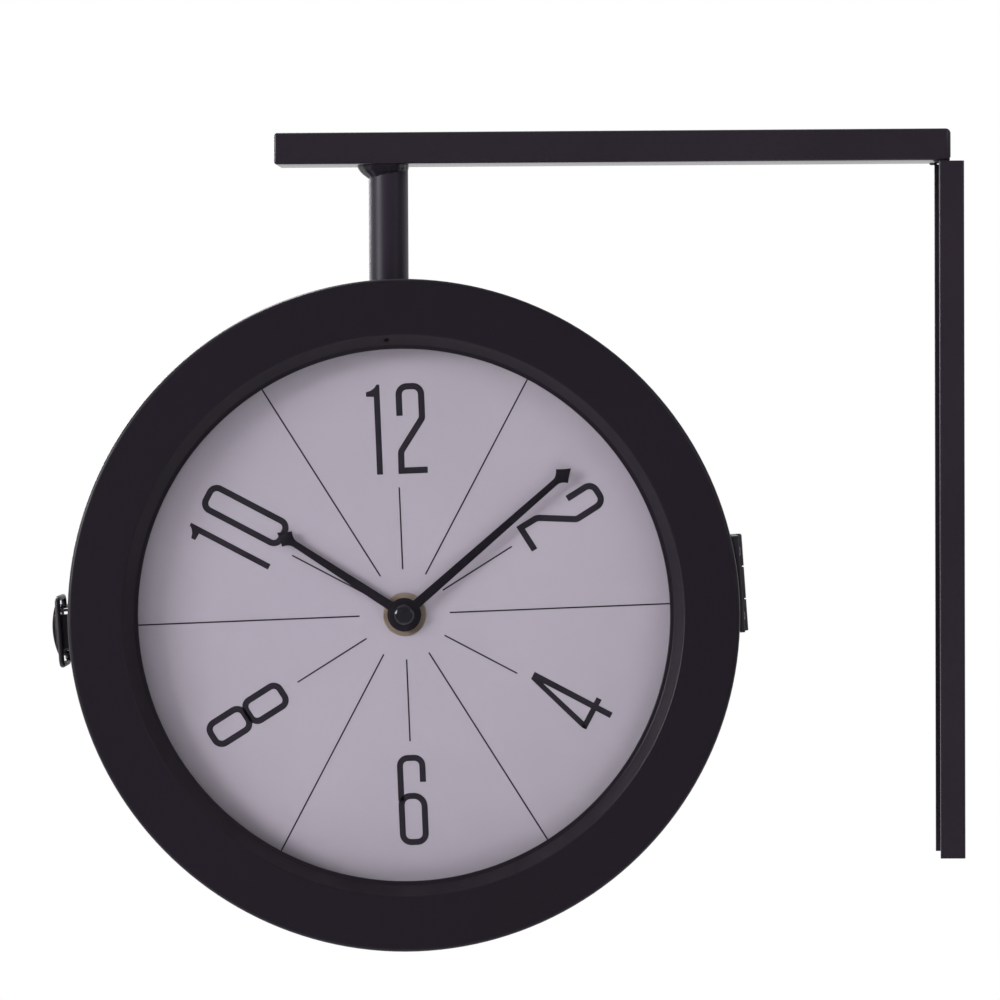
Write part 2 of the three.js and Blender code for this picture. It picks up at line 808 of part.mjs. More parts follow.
/** One leaf of the hinge with the knuckles of its side: the even ones or the odd ones. */
function makeLeaf(side, odd) {
  const pitch = (hingeLength + knuckleGap) / hingeKnuckles;
  const low = fittingRise - hingeLength / 2;
  const relief = knuckleRadius + fit;
  const span = (near, far) => [Math.min(side * near, side * far), Math.max(side * near, side * far)];
  const [y0, y1] = span(relief, leafWidth);
  const parts = [box(leafX, leafX + sheet, y0 - seamOffset, y1 - seamOffset, low, low + hingeLength)];
  for (let i = odd; i < hingeKnuckles; i += 2) {
    const z0 = low + i * pitch;
    const z1 = z0 + pitch - knuckleGap;
    const [b0, b1] = span(0, relief + sheet);
    parts.push(pinZ(knuckleRadius, hingeX, -seamOffset, z0, z1, fineFacets));
    parts.push(box(leafX, leafX + sheet, b0 - seamOffset, b1 - seamOffset, z0, z1));
  }
  for (const z of [fittingRise - hingeLength / 3, fittingRise + hingeLength / 3]) {
    const y = (side * (relief + leafWidth)) / 2 - seamOffset;
    parts.push(pinX(rivetRadius, leafX + sheet / 2, leafX + sheet + rivetHeight, y, z, fineFacets));
  }
  const bore = pinZ(
    hingePinRadius + pinFit,
    hingeX,
    -seamOffset,
    low - sheet,
    low + hingeLength + sheet,
    fineFacets,
  );
  return cut(join(...parts), bore);
}

function makeHingePin() {
  const low = fittingRise - hingeLength / 2 - fit;
  const high = low + hingeLength + 2 * fit;
  const shank = pinZ(hingePinRadius, hingeX, -seamOffset, low, high + sheet / 2, fineFacets);
  const head = pinZ(hingePinHead, hingeX, -seamOffset, high, high + sheet, fineFacets);
  return join(shank, head);
}

// ---------------------------------------------------------------- latch

// The latch's own frame: +X out of the case's side, +Y to the front.
const latchTop = caseRadius + fit + sheet;
const pivotX = caseRadius + latchPivotHeight;
const pivotY = seamOffset - latchPivotInset;
const earOuter = latchEarSpan / 2;
const cheekInner = earOuter + fit;
const cheekOuter = cheekInner + sheet;
const bailPivotX = pivotX - bailSink;
const bailPivotY = pivotY - bailThrow;

function makeLatchBase() {
  const plateFront = seamOffset - latchSetBack;
  const plateBack = plateFront - latchBaseLength;
  const parts = [box(caseRadius + fit, latchTop, plateBack, plateFront, -earOuter, earOuter)];
  for (const side of [-1, 1]) {
    const z0 = side > 0 ? earOuter - sheet : -earOuter;
    const radius = latchEyeRadius - smallFit;
    parts.push(box(caseRadius + fit, pivotX, pivotY - radius, pivotY + radius, z0, z0 + sheet));
    parts.push(pinZ(radius, pivotX, pivotY, z0, z0 + sheet, fineFacets));
  }
  for (const y of [plateBack + 2 * rivetRadius, plateFront - 2 * rivetRadius]) {
    parts.push(pinX(rivetRadius, latchTop - sheet / 2, latchTop + rivetHeight, y, 0, fineFacets));
  }
  const hole = pinZ(latchPinRadius + pinFit, pivotX, pivotY, -2 * earOuter, 2 * earOuter, fineFacets);
  return cut(join(...parts), hole).translate(0, 0, fittingRise);
}

/** The crowned channel of the lever, drawn in the XZ plane and run along Y. */
function makeLever() {
  const low = pivotX - latchEyeRadius;
  const top = caseRadius + leverHeight;
  const outerShoulder = top - leverCrown;
  const arch = (half, crownTop, sag) => {
    const radius = (half ** 2 + sag ** 2) / (2 * sag);
    const reach = Math.asin(half / radius);
    const points = [];
    const steps = 6;
    for (let i = 0; i <= steps; i += 1) {
      const angle = reach * (1 - (2 * i) / steps);
      points.push(new THREE.Vector2(
        crownTop - radius + radius * Math.cos(angle),
        radius * Math.sin(angle),
      ));
    }
    return points;
  };
  const outer = arch(cheekOuter, top, leverCrown);
  const inner = arch(cheekInner, top - sheet, leverCrown * (cheekInner / cheekOuter) ** 2).reverse();
  const outline = new THREE.Shape([
    new THREE.Vector2(low, cheekOuter),
    ...outer,
    new THREE.Vector2(low, -cheekOuter),
    new THREE.Vector2(low, -cheekInner),
    ...inner,
    new THREE.Vector2(low, cheekInner),
  ]);
  const channel = plate(outline, -pivotY + sheet, -pivotY + leverLength);
  const eyes = [-cheekOuter, cheekInner].map((z) =>
    pinZ(latchEyeRadius, pivotX, pivotY, z, z + sheet, fineFacets),
  );
  const neck = [-cheekOuter, cheekInner].map((z) =>
    box(low, pivotX + latchEyeRadius / 2, pivotY - 2 * sheet, pivotY, z, z + sheet),
  );
  const tab = box(outerShoulder - sheet / 2, outerShoulder + sheet / 2,
    pivotY - leverLength - 2 * sheet, pivotY - leverLength + sheet, -cheekInner, cheekInner);
  const far = 2 * cheekOuter;
  const pivot = pinZ(latchPinRadius + pinFit, pivotX, pivotY, -far, far, fineFacets);
  const bailHole = pinZ(bailWire + pinFit, bailPivotX, bailPivotY, -far, far, fineFacets);
  return cut(join(channel, ...eyes, ...neck, tab), pivot, bailHole).translate(0, 0, fittingRise);
}

function makeLatchPin() {
  const end = cheekOuter + fit;
  const shank = pinZ(latchPinRadius, pivotX, pivotY, -end - sheet / 2, end + sheet / 2, fineFacets);
  const heads = [-end - sheet / 2, end].map((z) =>
    pinZ(latchPinHead, pivotX, pivotY, z, z + sheet / 2, fineFacets),
  );
  return join(shank, ...heads).translate(0, 0, fittingRise);
}

/** The wire loop: in through each cheek of the lever, forward and across in front of the catch. */
function makeBail() {
  const side = bailWidth / 2 - bailWire;
  const crossX = caseRadius + bailHeight;
  const crossY = seamOffset + bailReach;
  const at = (x, y, z) => new THREE.Vector3(x, y, z);
  const corners = [
    at(bailPivotX, bailPivotY, cheekInner + smallFit),
    at(bailPivotX, bailPivotY, side),
    at(crossX, crossY, side),
    at(crossX, crossY, -side),
    at(bailPivotX, bailPivotY, -side),
    at(bailPivotX, bailPivotY, -cheekInner - smallFit),
  ];
  const route = new THREE.CurvePath();
  let from = corners[0];
  for (let i = 1; i < corners.length - 1; i += 1) {
    const into = corners[i].clone().sub(corners[i - 1]).normalize();
    const away = corners[i + 1].clone().sub(corners[i]).normalize();
    const start = corners[i].clone().addScaledVector(into, -bailCorner);
    const end = corners[i].clone().addScaledVector(away, bailCorner);
    route.add(new THREE.LineCurve3(from, start));
    route.add(new THREE.QuadraticBezierCurve3(start, corners[i], end));
    from = end;
  }
  route.add(new THREE.LineCurve3(from, corners[corners.length - 1]));
  const section = new THREE.Shape();
  section.absarc(0, 0, bailWire, 0, Math.PI * 2);
  const wire = new THREE.ExtrudeGeometry(section, {
    extrudePath: route,
    steps: wireSteps,
    curveSegments: 3,
    bevelEnabled: false,
  });
  return wire.translate(0, 0, fittingRise);
}

function makeCatch() {
  const wireNear = seamOffset + bailReach - bailWire;
  const face = wireNear - fit;
  const half = catchWidth / 2;
  const foot = box(caseRadius + fit, latchTop, seamOffset + 2 * fit, face, -half, half);
  const hook = box(caseRadius + fit, caseRadius + catchHeight, face - sheet, face, -half, half);
  const y = (seamOffset + face - sheet) / 2;
  const rivets = [-half / 2, half / 2].map((z) =>
    pinX(rivetRadius, latchTop - sheet / 2, latchTop + rivetHeight, y, z, fineFacets),
  );
  return join(foot, hook, ...rivets).translate(0, 0, fittingRise);
}

// ---------------------------------------------------------------- assembly

const clock = new THREE.Group();
clock.add(makeBracket());

const caseGroup = new THREE.Group();
caseGroup.position.set(caseX, 0, caseZ);
caseGroup.rotation.y = -radians(caseRoll);
clock.add(caseGroup);

const doorDepth = caseDepth / 2 - seamOffset - seamGap / 2;
const frontHalf = makeHalf("front", withScrewHole(makeShell(doorDepth)));
frontHalf.position.y = -(caseDepth / 2 - dialDepth);
const rearHalf = makeHalf("rear", makeRearShell());
rearHalf.position.y = caseDepth / 2 - dialDepth;
rearHalf.rotation.z = Math.PI;
caseGroup.add(frontHalf, rearHalf);

const fittings = new THREE.Group();
fittings.rotation.y = -radians(fittingTilt);
piece(fittings, "hinge_leaf_rear", makeLeaf(1, 0), fittingBlack);
piece(fittings, "hinge_leaf_front", makeLeaf(-1, 1), fittingBlack);
piece(fittings, "hinge_pin", makeHingePin(), fittingBlack);
const latch = new THREE.Group();
latch.rotation.z = Math.PI;
piece(latch, "latch_base", makeLatchBase(), fittingBlack);
piece(latch, "latch_lever", makeLever(), fittingBlack);
piece(latch, "latch_pin", makeLatchPin(), steelMetal);
piece(latch, "latch_bail", makeBail(), fittingBlack);
piece(latch, "latch_catch", makeCatch(), fittingBlack);
fittings.add(latch);
caseGroup.add(fittings);

export default clock;
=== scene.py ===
"""Looks of a double sided station clock on its wall bracket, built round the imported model.

Sizes are in millimetres in the classes below and become metres when a piece is finished; only
the lamps and the shaders' ranges are in metres from the start.
The wall is the plane X = 0, the front dial looks along -Y, and +Z is up.
"""

import json
import logging
import math
from dataclasses import dataclass, field
from enum import Enum
from functools import lru_cache
from typing import Callable, Optional, Sequence

import bmesh
import bpy
from mathutils import Matrix, Vector, noise

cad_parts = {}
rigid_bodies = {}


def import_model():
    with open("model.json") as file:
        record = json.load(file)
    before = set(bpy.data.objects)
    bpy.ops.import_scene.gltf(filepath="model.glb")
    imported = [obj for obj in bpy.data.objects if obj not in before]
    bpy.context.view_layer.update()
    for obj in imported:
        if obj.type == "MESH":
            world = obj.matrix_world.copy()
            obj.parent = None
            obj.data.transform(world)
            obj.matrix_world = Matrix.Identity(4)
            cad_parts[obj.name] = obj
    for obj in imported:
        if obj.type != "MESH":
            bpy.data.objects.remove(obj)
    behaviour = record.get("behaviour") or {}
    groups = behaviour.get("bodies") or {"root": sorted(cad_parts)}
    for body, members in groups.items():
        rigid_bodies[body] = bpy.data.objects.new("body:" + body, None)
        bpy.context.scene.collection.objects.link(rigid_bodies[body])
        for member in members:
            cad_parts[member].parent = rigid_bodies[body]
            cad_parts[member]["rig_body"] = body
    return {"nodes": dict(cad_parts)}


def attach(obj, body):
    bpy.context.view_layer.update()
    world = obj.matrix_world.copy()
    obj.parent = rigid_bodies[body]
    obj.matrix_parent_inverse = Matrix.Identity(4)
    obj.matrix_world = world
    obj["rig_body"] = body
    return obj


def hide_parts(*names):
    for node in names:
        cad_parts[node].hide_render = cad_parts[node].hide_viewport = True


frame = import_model()

LOG = logging.getLogger("station_clock")
MM = 0.001
DUST = (150, 148, 150)
SMOOTH_UNDER = 32.0
# Stands a piece that was spun round Y up along +Z.
UPRIGHT = Matrix.Rotation(-math.pi / 2, 4, "X")
# Turns a piece that points along +Z out of the case's side, along +X.
SIDEWAYS = Matrix.Rotation(math.pi / 2, 4, "Y")

Colour = tuple[float, float, float]
Point2 = tuple[float, float]
Point3 = tuple[float, float, float]


class Side(Enum):
    """Which half of the clock a piece belongs to."""

    FRONT = "front"
    REAR = "rear"

    def node(self, name: str) -> str:
        """The full CAD node name of a piece of this half."""
        return f"{self.value}_{name}"


class Top(Enum):
    """Which way the top of a dial numeral points."""

    OUTWARD = 1
    INWARD = -1


# ---------------------------------------------------------------- places


@dataclass(frozen=True)
class Places:
    """Where the sub-assemblies stand, as matrices in millimetres.

    A half's own frame has its origin in the middle of the printed face of the dial, +X to the
    right and -Y towards the viewer of that dial.
    """

    case_x: float = -224.7
    case_z: float = -40.7
    case_roll: float = 2.15
    fitting_tilt: float = 1.75
    dial_from_middle: float = 23.0
    stem_x: float = -231.7

    def case(self) -> Matrix:
        """The case's centre, rolled as it hangs."""
        turn = Matrix.Rotation(-math.radians(self.case_roll), 4, "Y")
        return Matrix.Translation((self.case_x, 0, self.case_z)) @ turn

    def half(self, side: Side) -> Matrix:
        """The dial frame of one half.

        Args:
            side: the front or the rear half.

        Returns:
            The matrix from that half's frame to the row frame.
        """
        if side is Side.FRONT:
            return self.case() @ Matrix.Translation((0, -self.dial_from_middle, 0))
        turn = Matrix.Rotation(math.pi, 4, "Z")
        return self.case() @ Matrix.Translation((0, self.dial_from_middle, 0)) @ turn

    def fittings(self) -> Matrix:
        """The line across the case that hinge and latch share; +X points out at the hinge."""
        return self.case() @ Matrix.Rotation(-math.radians(self.fitting_tilt), 4, "Y")

    def latch(self) -> Matrix:
        """The latch's frame: +X out of the case's side, +Y to the front."""
        return self.fittings() @ Matrix.Rotation(math.pi, 4, "Z")


PLACES = Places()


# ---------------------------------------------------------------- shader nodes


def linear(colour: Colour) -> tuple[float, float, float, float]:
    """A display colour of 0 to 255 as a linear colour with alpha."""

    def channel(value: float) -> float:
        """One channel as a linear share."""
        share = value / 255
        return share / 12.92 if share <= 0.04045 else ((share + 0.055) / 1.055) ** 2.4

    return (*(channel(c) for c in colour), 1.0)


class Graph:
    """Adds and joins the nodes of one node tree."""

    def __init__(self, tree: bpy.types.NodeTree) -> None:
        """Keeps the tree and where the next node goes."""
        self.tree = tree
        self.column = 0

    def add(self, kind: str, settings: Optional[dict] = None, **inputs: object) -> bpy.types.Node:
        """Adds a node.

        Args:
            kind: the node's type name, without its ShaderNode prefix.
            settings: properties of the node itself.
            inputs: socket values or sockets to join, by name with _ for a space, or by i and
                the socket's number.

        Returns:
            The new node.
        """
        node = self.tree.nodes.new(f"ShaderNode{kind}")
        node.location = (self.column, 0)
        self.column += 200
        for name, value in (settings or {}).items():
            setattr(node, name, value)
        for name, value in inputs.items():
            numbered = name[0] == "i" and name[1:].isdigit()
            socket = node.inputs[int(name[1:]) if numbered else name.replace("_", " ")]
            if isinstance(value, bpy.types.NodeSocket):
                self.tree.links.new(value, socket)
            else:
                socket.default_value = value
        return node

    def math(self, operation: str, first: object, second: object = 0.0) -> bpy.types.NodeSocket:
        """The result of a Math node on two values or sockets."""
        return self.add("Math", {"operation": operation}, i0=first, i1=second).outputs[0]

    def remap(
        self,
        value: bpy.types.NodeSocket,
        low: float,
        high: float,
        to_low: object = 0.0,
        to_high: object = 1.0,
    ) -> bpy.types.NodeSocket:
        """A value moved from one range to another, held inside it.

        Args:
            value: the value.
            low: where its own range starts.
            high: where it ends.
            to_low: what low becomes, a number or a socket.
            to_high: what high becomes.

        Returns:
            The result's socket.
        """
        node = self.add(
            "MapRange", Value=value, From_Min=low, From_Max=high, To_Min=to_low, To_Max=to_high
        )
        return node.outputs[0]

    def mix(self, share: object, first: object, second: object) -> bpy.types.NodeSocket:
        """Two colours mixed by a share."""
        node = self.add("Mix", {"data_type": "RGBA"}, i0=share, i6=first, i7=second)
        return node.outputs[2]

    def greatest(self, *values: bpy.types.NodeSocket) -> bpy.types.NodeSocket:
        """The greatest of two or more values."""
        most = values[0]
        for value in values[1:]:
            most = self.math("MAXIMUM", most, value)
        return most

    def surface(
        self, share: bpy.types.NodeSocket, first: bpy.types.Node, second: bpy.types.Node
    ) -> None:
        """Makes the material's surface a mix of two shaders."""
        both = self.add("MixShader", i0=share, i1=first.outputs[0], i2=second.outputs[0])
        self.tree.links.new(
            both.outputs[0], self.tree.nodes["Material Output"].inputs["Surface"])

    def noise(
        self, place: bpy.types.NodeSocket, scale: object, detail: float
    ) -> bpy.types.NodeSocket:
        """The value of a noise texture at a place."""
        return self.add("TexNoise", Vector=place, Scale=scale, Detail=detail).outputs[0]


def new_group(
    name: str, values: dict[str, object], results: Sequence[str]
) -> tuple[bpy.types.NodeTree, Graph, bpy.types.Node, bpy.types.Node]:
    """Starts a shader node group.

    Args:
        name: the group's name.
        values: its input sockets with their defaults; a tuple makes a colour socket.
        results: its output sockets: Colour and Normal by name, the others plain values.

    Returns:
        The tree, a graph on it, and its input and output nodes.
    """
    tree = bpy.data.node_groups.new(name, "ShaderNodeTree")
    for socket, value in values.items():
        kind = "NodeSocketColor" if isinstance(value, tuple) else "NodeSocketFloat"
        made = tree.interface.new_socket(socket, in_out="INPUT", socket_type=kind)
        made.default_value = value
    kinds = {"Colour": "NodeSocketColor", "Normal": "NodeSocketVector"}
    for socket in results:
        kind = kinds.get(socket, "NodeSocketFloat")
        tree.interface.new_socket(socket, in_out="OUTPUT", socket_type=kind)
    inside = tree.nodes.new("NodeGroupInput")
    outside = tree.nodes.new("NodeGroupOutput")
    return tree, Graph(tree), inside, outside


@lru_cache(maxsize=None)
def surface_grain() -> bpy.types.NodeTree:
    """Colour that drifts over the surface, roughness that drifts with it, and a fine grain."""
    tree, graph, given, out = new_group(
        "surface_grain",
        {
            "First": (0.5, 0.5, 0.5, 1.0),
            "Second": (0.4, 0.4, 0.4, 1.0),
            "Drift Scale": 20.0,
            "Grain Scale": 2000.0,
            "Grain Depth": 0.1,
            "Rough Low": 0.4,
            "Rough High": 0.5,
        },
        ("Colour", "Roughness", "Normal"),
    )
    place = graph.add("TexCoord").outputs["Object"]
    drift = graph.noise(place, given.outputs["Drift Scale"], 4.0)
    share = graph.remap(drift, 0.32, 0.68)
    grain = graph.noise(place, given.outputs["Grain Scale"], 2.0)
    bump = graph.add(
        "Bump", Strength=given.outputs["Grain Depth"], Distance=0.0002, Height=grain
    )
    colour = graph.mix(share, given.outputs["First"], given.outputs["Second"])
    rough = graph.remap(
        graph.math("ADD", graph.math("MULTIPLY", drift, 0.7), graph.math("MULTIPLY", grain, 0.3)),
        0.3,
        0.7,
        given.outputs["Rough Low"],
        given.outputs["Rough High"],
    )
    tree.links.new(colour, out.inputs["Colour"])
    tree.links.new(rough, out.inputs["Roughness"])
    tree.links.new(bump.outputs[0], out.inputs["Normal"])
    return tree


@lru_cache(maxsize=None)
def painted_edge_highlight() -> bpy.types.NodeTree:
    """A mask along every sharp edge, broken up by noise: a painted highlight on the edges."""
    tree, graph, given, out = new_group("painted_edge_highlight", {"Amount": 0.5, "Width": 0.0006}, ("Mask",))
    geometry = graph.add("NewGeometry")
    place = graph.add("TexCoord").outputs["Object"]
    rounded = graph.add("Bevel", {"samples": 4}, Radius=given.outputs["Width"])
    dot = graph.add("VectorMath", {"operation": "DOT_PRODUCT"}, i0=rounded.outputs[0],
                    i1=geometry.outputs["Normal"])
    edge = graph.remap(graph.math("SUBTRACT", 1.0, dot.outputs["Value"]), 0.01, 0.12)
    broken = graph.remap(graph.noise(place, 160.0, 5.0), 0.42, 0.62)
    mask = graph.math("MULTIPLY", graph.math("MULTIPLY", edge, broken), given.outputs["Amount"])
    tree.links.new(mask, out.inputs["Mask"])
    return tree


@lru_cache(maxsize=None)
def settled_dust() -> bpy.types.NodeTree:
    """A mask of the faint dust that lies on faces that look up."""
    tree, graph, given, out = new_group("settled_dust", {"Amount": 0.3}, ("Mask",))
    coordinates = graph.add("TexCoord")
    up = graph.add("SeparateXYZ", Vector=coordinates.outputs["Normal"]).outputs["Z"]
    lying = graph.remap(up, 0.35, 1.0)
    patches = graph.remap(graph.noise(coordinates.outputs["Object"], 55.0, 6.0), 0.35, 0.75)
    mask = graph.math("MULTIPLY", graph.math("MULTIPLY", lying, patches), given.outputs["Amount"])
    tree.links.new(mask, out.inputs["Mask"])
    return tree


@lru_cache(maxsize=None)
def tool_lines() -> bpy.types.NodeTree:
    """Fine lines left by drawing or turning metal, as a mask and a normal."""
    tree, graph, given, out = new_group(
        "tool_lines", {"Across": 4000.0, "Along": 60.0, "Depth": 0.1}, ("Mask", "Normal")
    )
    place = graph.add("TexCoord").outputs["Object"]
    parts = graph.add("SeparateXYZ", Vector=place)
    squeeze = graph.add(
        "CombineXYZ",
        X=graph.math("MULTIPLY", parts.outputs["X"], given.outputs["Along"]),
        Y=graph.math("MULTIPLY", parts.outputs["Y"], given.outputs["Across"]),
        Z=graph.math("MULTIPLY", parts.outputs["Z"], given.outputs["Across"]),
    )
    lines = graph.noise(squeeze.outputs[0], 1.0, 3.0)
    bump = graph.add("Bump", Strength=given.outputs["Depth"], Distance=0.0001, Height=lines)
    tree.links.new(graph.remap(lines, 0.35, 0.65), out.inputs["Mask"])
    tree.links.new(bump.outputs[0], out.inputs["Normal"])
    return tree


# ---------------------------------------------------------------- finishes


def start_material(name: str) -> tuple[bpy.types.Material, Graph, bpy.types.Node]:
    """A new material with its graph and its main shader."""
    material = bpy.data.materials.new(name)
    material.use_nodes = True
    graph = Graph(material.node_tree)
    shader = material.node_tree.nodes["Principled BSDF"]
    return material, graph, shader


def place_group(graph: Graph, tree: bpy.types.NodeTree, **inputs: object) -> bpy.types.Node:
    """Puts a node group into a material's graph with its own values."""
    node = graph.add("Group", {"node_tree": tree})
    for name, value in inputs.items():
        node.inputs[name.replace("_", " ")].default_value = value
    return node


def grained(
    graph: Graph, first: Colour, second: Colour, drift: float, grain: float, depth: float,
    rough: Point2,
) -> bpy.types.Node:
    """Places the surface grain.

    Args:
        graph: the material's graph.
        first: one display colour of the drift.
        second: the other.
        drift: scale of the drift.
        grain: scale of the fine grain.
        depth: strength of its bump.
        rough: the lowest and the highest roughness.

    Returns:
        The group's node.
    """
    return place_group(
        graph, surface_grain(), First=linear(first), Second=linear(second), Drift_Scale=drift,
        Grain_Scale=grain, Grain_Depth=depth, Rough_Low=rough[0], Rough_High=rough[1],
    )


def join(
    shader: bpy.types.Node, colour: bpy.types.NodeSocket, grain: bpy.types.Node,
    normal: Optional[bpy.types.NodeSocket] = None,
) -> None:
    """Joins what varies over a surface to a shader.

    Args:
        shader: the main shader.
        colour: its colour.
        grain: the surface grain, which gives its roughness.
        normal: its normal, if it has one.
    """
    links = shader.id_data.links
    links.new(colour, shader.inputs["Base Color"])
    links.new(grain.outputs["Roughness"], shader.inputs["Roughness"])
    if normal:
        links.new(normal, shader.inputs["Normal"])


@dataclass(frozen=True)
class Coating:
    """A painted, powder coated or moulded surface.

    The two colours drift into each other. The edge highlight colour is a painted highlight laid
    along every sharp edge, and dust the colour of what lies on top.
    """

    name: str
    first: Colour
    second: Colour
    rough: Point2 = (0.4, 0.5)
    specular: float = 0.3
    drift: float = 20.0
    grain: float = 2200.0
    depth: float = 0.12
    # A painted highlight along the sharp edges: its colour, its strength and its width.
    edge_highlight_colour: Colour = (92, 90, 96)
    edge_highlight: float = 0.35
    edge_highlight_width: float = 0.0005
    dust: float = 0.0
    metallic: float = 0.0
    coat: float = 0.0

    @lru_cache(maxsize=None)
    def material(self) -> bpy.types.Material:
        """Builds the material, once."""
        material, graph, shader = start_material(self.name)
        grain = grained(
            graph, self.first, self.second, self.drift, self.grain, self.depth, self.rough
        )
        colour = grain.outputs["Colour"]
        # Lightens every sharp edge: a painted highlight, not wear.
        if self.edge_highlight:
            edges = place_group(graph, painted_edge_highlight(), Amount=self.edge_highlight, Width=self.edge_highlight_width)
            colour = graph.mix(edges.outputs["Mask"], colour, linear(self.edge_highlight_colour))
        if self.dust:
            dust = place_group(graph, settled_dust(), Amount=self.dust)
            colour = graph.mix(dust.outputs["Mask"], colour, linear(DUST))
        join(shader, colour, grain, grain.outputs["Normal"])
        shader.inputs["Specular IOR Level"].default_value = self.specular
        shader.inputs["Metallic"].default_value = self.metallic
        shader.inputs["Coat Weight"].default_value = self.coat
        return material


@dataclass(frozen=True)
class BareMetal:
    """Drawn or turned bare metal, a little dull in patches."""

    name: str
    bright: Colour
    dull: Colour
    rough: Point2 = (0.25, 0.42)
    across: float = 4000.0
    along: float = 80.0
    depth: float = 0.15
    drift: float = 90.0
    grain: float = 900.0
    line_share: float = 0.35

    @lru_cache(maxsize=None)
    def material(self) -> bpy.types.Material:
        """Builds the material, once."""
        material, graph, shader = start_material(self.name)
        grain = grained(graph, self.bright, self.dull, self.drift, self.grain, 0.0, self.rough)
        lines = place_group(
            graph, tool_lines(), Across=self.across, Along=self.along, Depth=self.depth
        )
        share = graph.math("MULTIPLY", lines.outputs["Mask"], self.line_share)
        colour = graph.mix(share, grain.outputs["Colour"], linear(self.dull))
        join(shader, colour, grain, lines.outputs["Normal"])
        shader.inputs["Metallic"].default_value = 1.0
        return material


@dataclass(frozen=True)
class ClearGlass:
    """Thin clear glass that mirrors little and lets the lamps reach the dial behind it."""

    name: str = "clear_glass"
    tint: Colour = (252, 253, 253)
    second: Colour = (247, 250, 249)
    clear: Colour = (250, 250, 250)
    drift: float = 12.0
    grain: float = 400.0
    rough: Point2 = (0.0, 0.015)
    ior: float = 1.2

    @lru_cache(maxsize=None)
    def material(self) -> bpy.types.Material:
        """Builds the material, once."""
        material, graph, shader = start_material(self.name)
        grain = grained(graph, self.tint, self.second, self.drift, self.grain, 0.0, self.rough)
        join(shader, grain.outputs["Colour"], grain)
        shader.inputs["Metallic"].default_value = 0.0
        shader.inputs["Transmission Weight"].default_value = 1.0
        shader.inputs["IOR"].default_value = self.ior
        path = graph.add("LightPath")
        through = graph.greatest(path.outputs["Is Shadow Ray"], path.outputs["Is Diffuse Ray"])
        clear = graph.add("BsdfTransparent", Color=linear(self.clear))
        graph.surface(through, shader, clear)
        return material


@dataclass(frozen=True)
class BatteryJacket:
    """A plain battery jacket: a dark sleeve and a bright band from a place along X to one end."""

    name: str
    band_from_x: float
    way: int
    sleeve: Colour = (46, 48, 54)
    shade: Colour = (40, 42, 47)
    band: Colour = (176, 148, 84)
    drift: float = 60.0
    grain: float = 1500.0
    depth: float = 0.03
    rough: Point2 = (0.2, 0.32)
    blend: float = 0.1
    metallic: float = 0.6

    @lru_cache(maxsize=None)
    def material(self) -> bpy.types.Material:
        """Builds the material, once."""
        material, graph, shader = start_material(self.name)
        grain = grained(
            graph, self.sleeve, self.shade, self.drift, self.grain, self.depth, self.rough
        )
        place = graph.add("TexCoord").outputs["Object"]
        along = graph.add("SeparateXYZ", Vector=place).outputs["X"]
        edge = self.band_from_x * self.way
        towards = graph.math("MULTIPLY", along, self.way)
        mask = graph.remap(towards, (edge - self.blend) * MM, (edge + self.blend) * MM)
        colour = graph.mix(mask, grain.outputs["Colour"], linear(self.band))
        join(shader, colour, grain, grain.outputs["Normal"])
        shader.inputs["Metallic"].default_value = self.metallic
        return material


# Each coat's edge highlight paints a highlight along its sharp edges.
BRACKET_COAT = Coating("bracket_coat", (41, 34, 44), (37, 30, 40), edge_highlight=0.2, dust=0.05,
                       drift=14.0, rough=(0.2, 0.27), specular=0.3)
# The stem's coat is the bracket's paint drawn a little lighter: painted light on the round stem.
# Its higher roughness is its own.
STEM_COAT = Coating("stem_coat", (44, 37, 50), (40, 33, 46), edge_highlight=0.15, dust=0.03,
                    drift=30.0, rough=(0.36, 0.44), specular=0.25)
CASE_COAT = Coating("case_coat", (30, 23, 33), (27, 21, 30), edge_highlight=0.2, dust=0.04,
                    drift=10.0, rough=(0.3, 0.38), specular=0.25)
FITTING_COAT = Coating("fitting_coat", (33, 28, 36), (25, 21, 28), edge_highlight=0.3, dust=0.04,
                       drift=60.0, rough=(0.3, 0.42), specular=0.4, edge_highlight_width=0.0003)
HINGE_COAT = Coating("hinge_coat", (54, 49, 58), (47, 43, 51), edge_highlight=0.1, drift=60.0,
                     rough=(0.32, 0.42), specular=0.4, edge_highlight_width=0.0002)
WELD_COAT = Coating("weld_coat", (31, 25, 35), (24, 19, 28), edge_highlight=0.2, drift=120.0,
                    grain=900.0, depth=0.15, rough=(0.34, 0.46), specular=0.3)
DIAL_CARD = Coating("dial_card", (174, 165, 178), (169, 160, 174), edge_highlight=0.0, drift=9.0,
                    grain=1800.0, depth=0.05, rough=(0.62, 0.74), specular=0.2)
DIAL_INK = Coating("dial_ink", (38, 31, 43), (33, 27, 38), edge_highlight=0.0, drift=120.0,
                   grain=3000.0, depth=0.05, rough=(0.5, 0.62), specular=0.2)
HAND_PAINT = Coating("hand_paint", (24, 17, 29), (19, 14, 24), edge_highlight=0.15, drift=80.0,
                     grain=2600.0, depth=0.04, rough=(0.34, 0.46), specular=0.2,
                     edge_highlight_width=0.0001)
CAP_GLOSS = Coating("cap_gloss", (19, 17, 23), (16, 14, 19), edge_highlight=0.0, drift=90.0,
                    grain=600.0, depth=0.0, rough=(0.07, 0.07), specular=0.5, coat=1.0)
SCREW_BLACK = Coating("screw_black", (12, 9, 14), (9, 7, 11), edge_highlight=0.0, drift=200.0,
                      rough=(0.5, 0.62), specular=0.1)
SPACER_BLACK = Coating("spacer_black", (30, 27, 33), (26, 24, 29), edge_highlight=0.0, drift=70.0,
                       rough=(0.55, 0.7), specular=0.25)
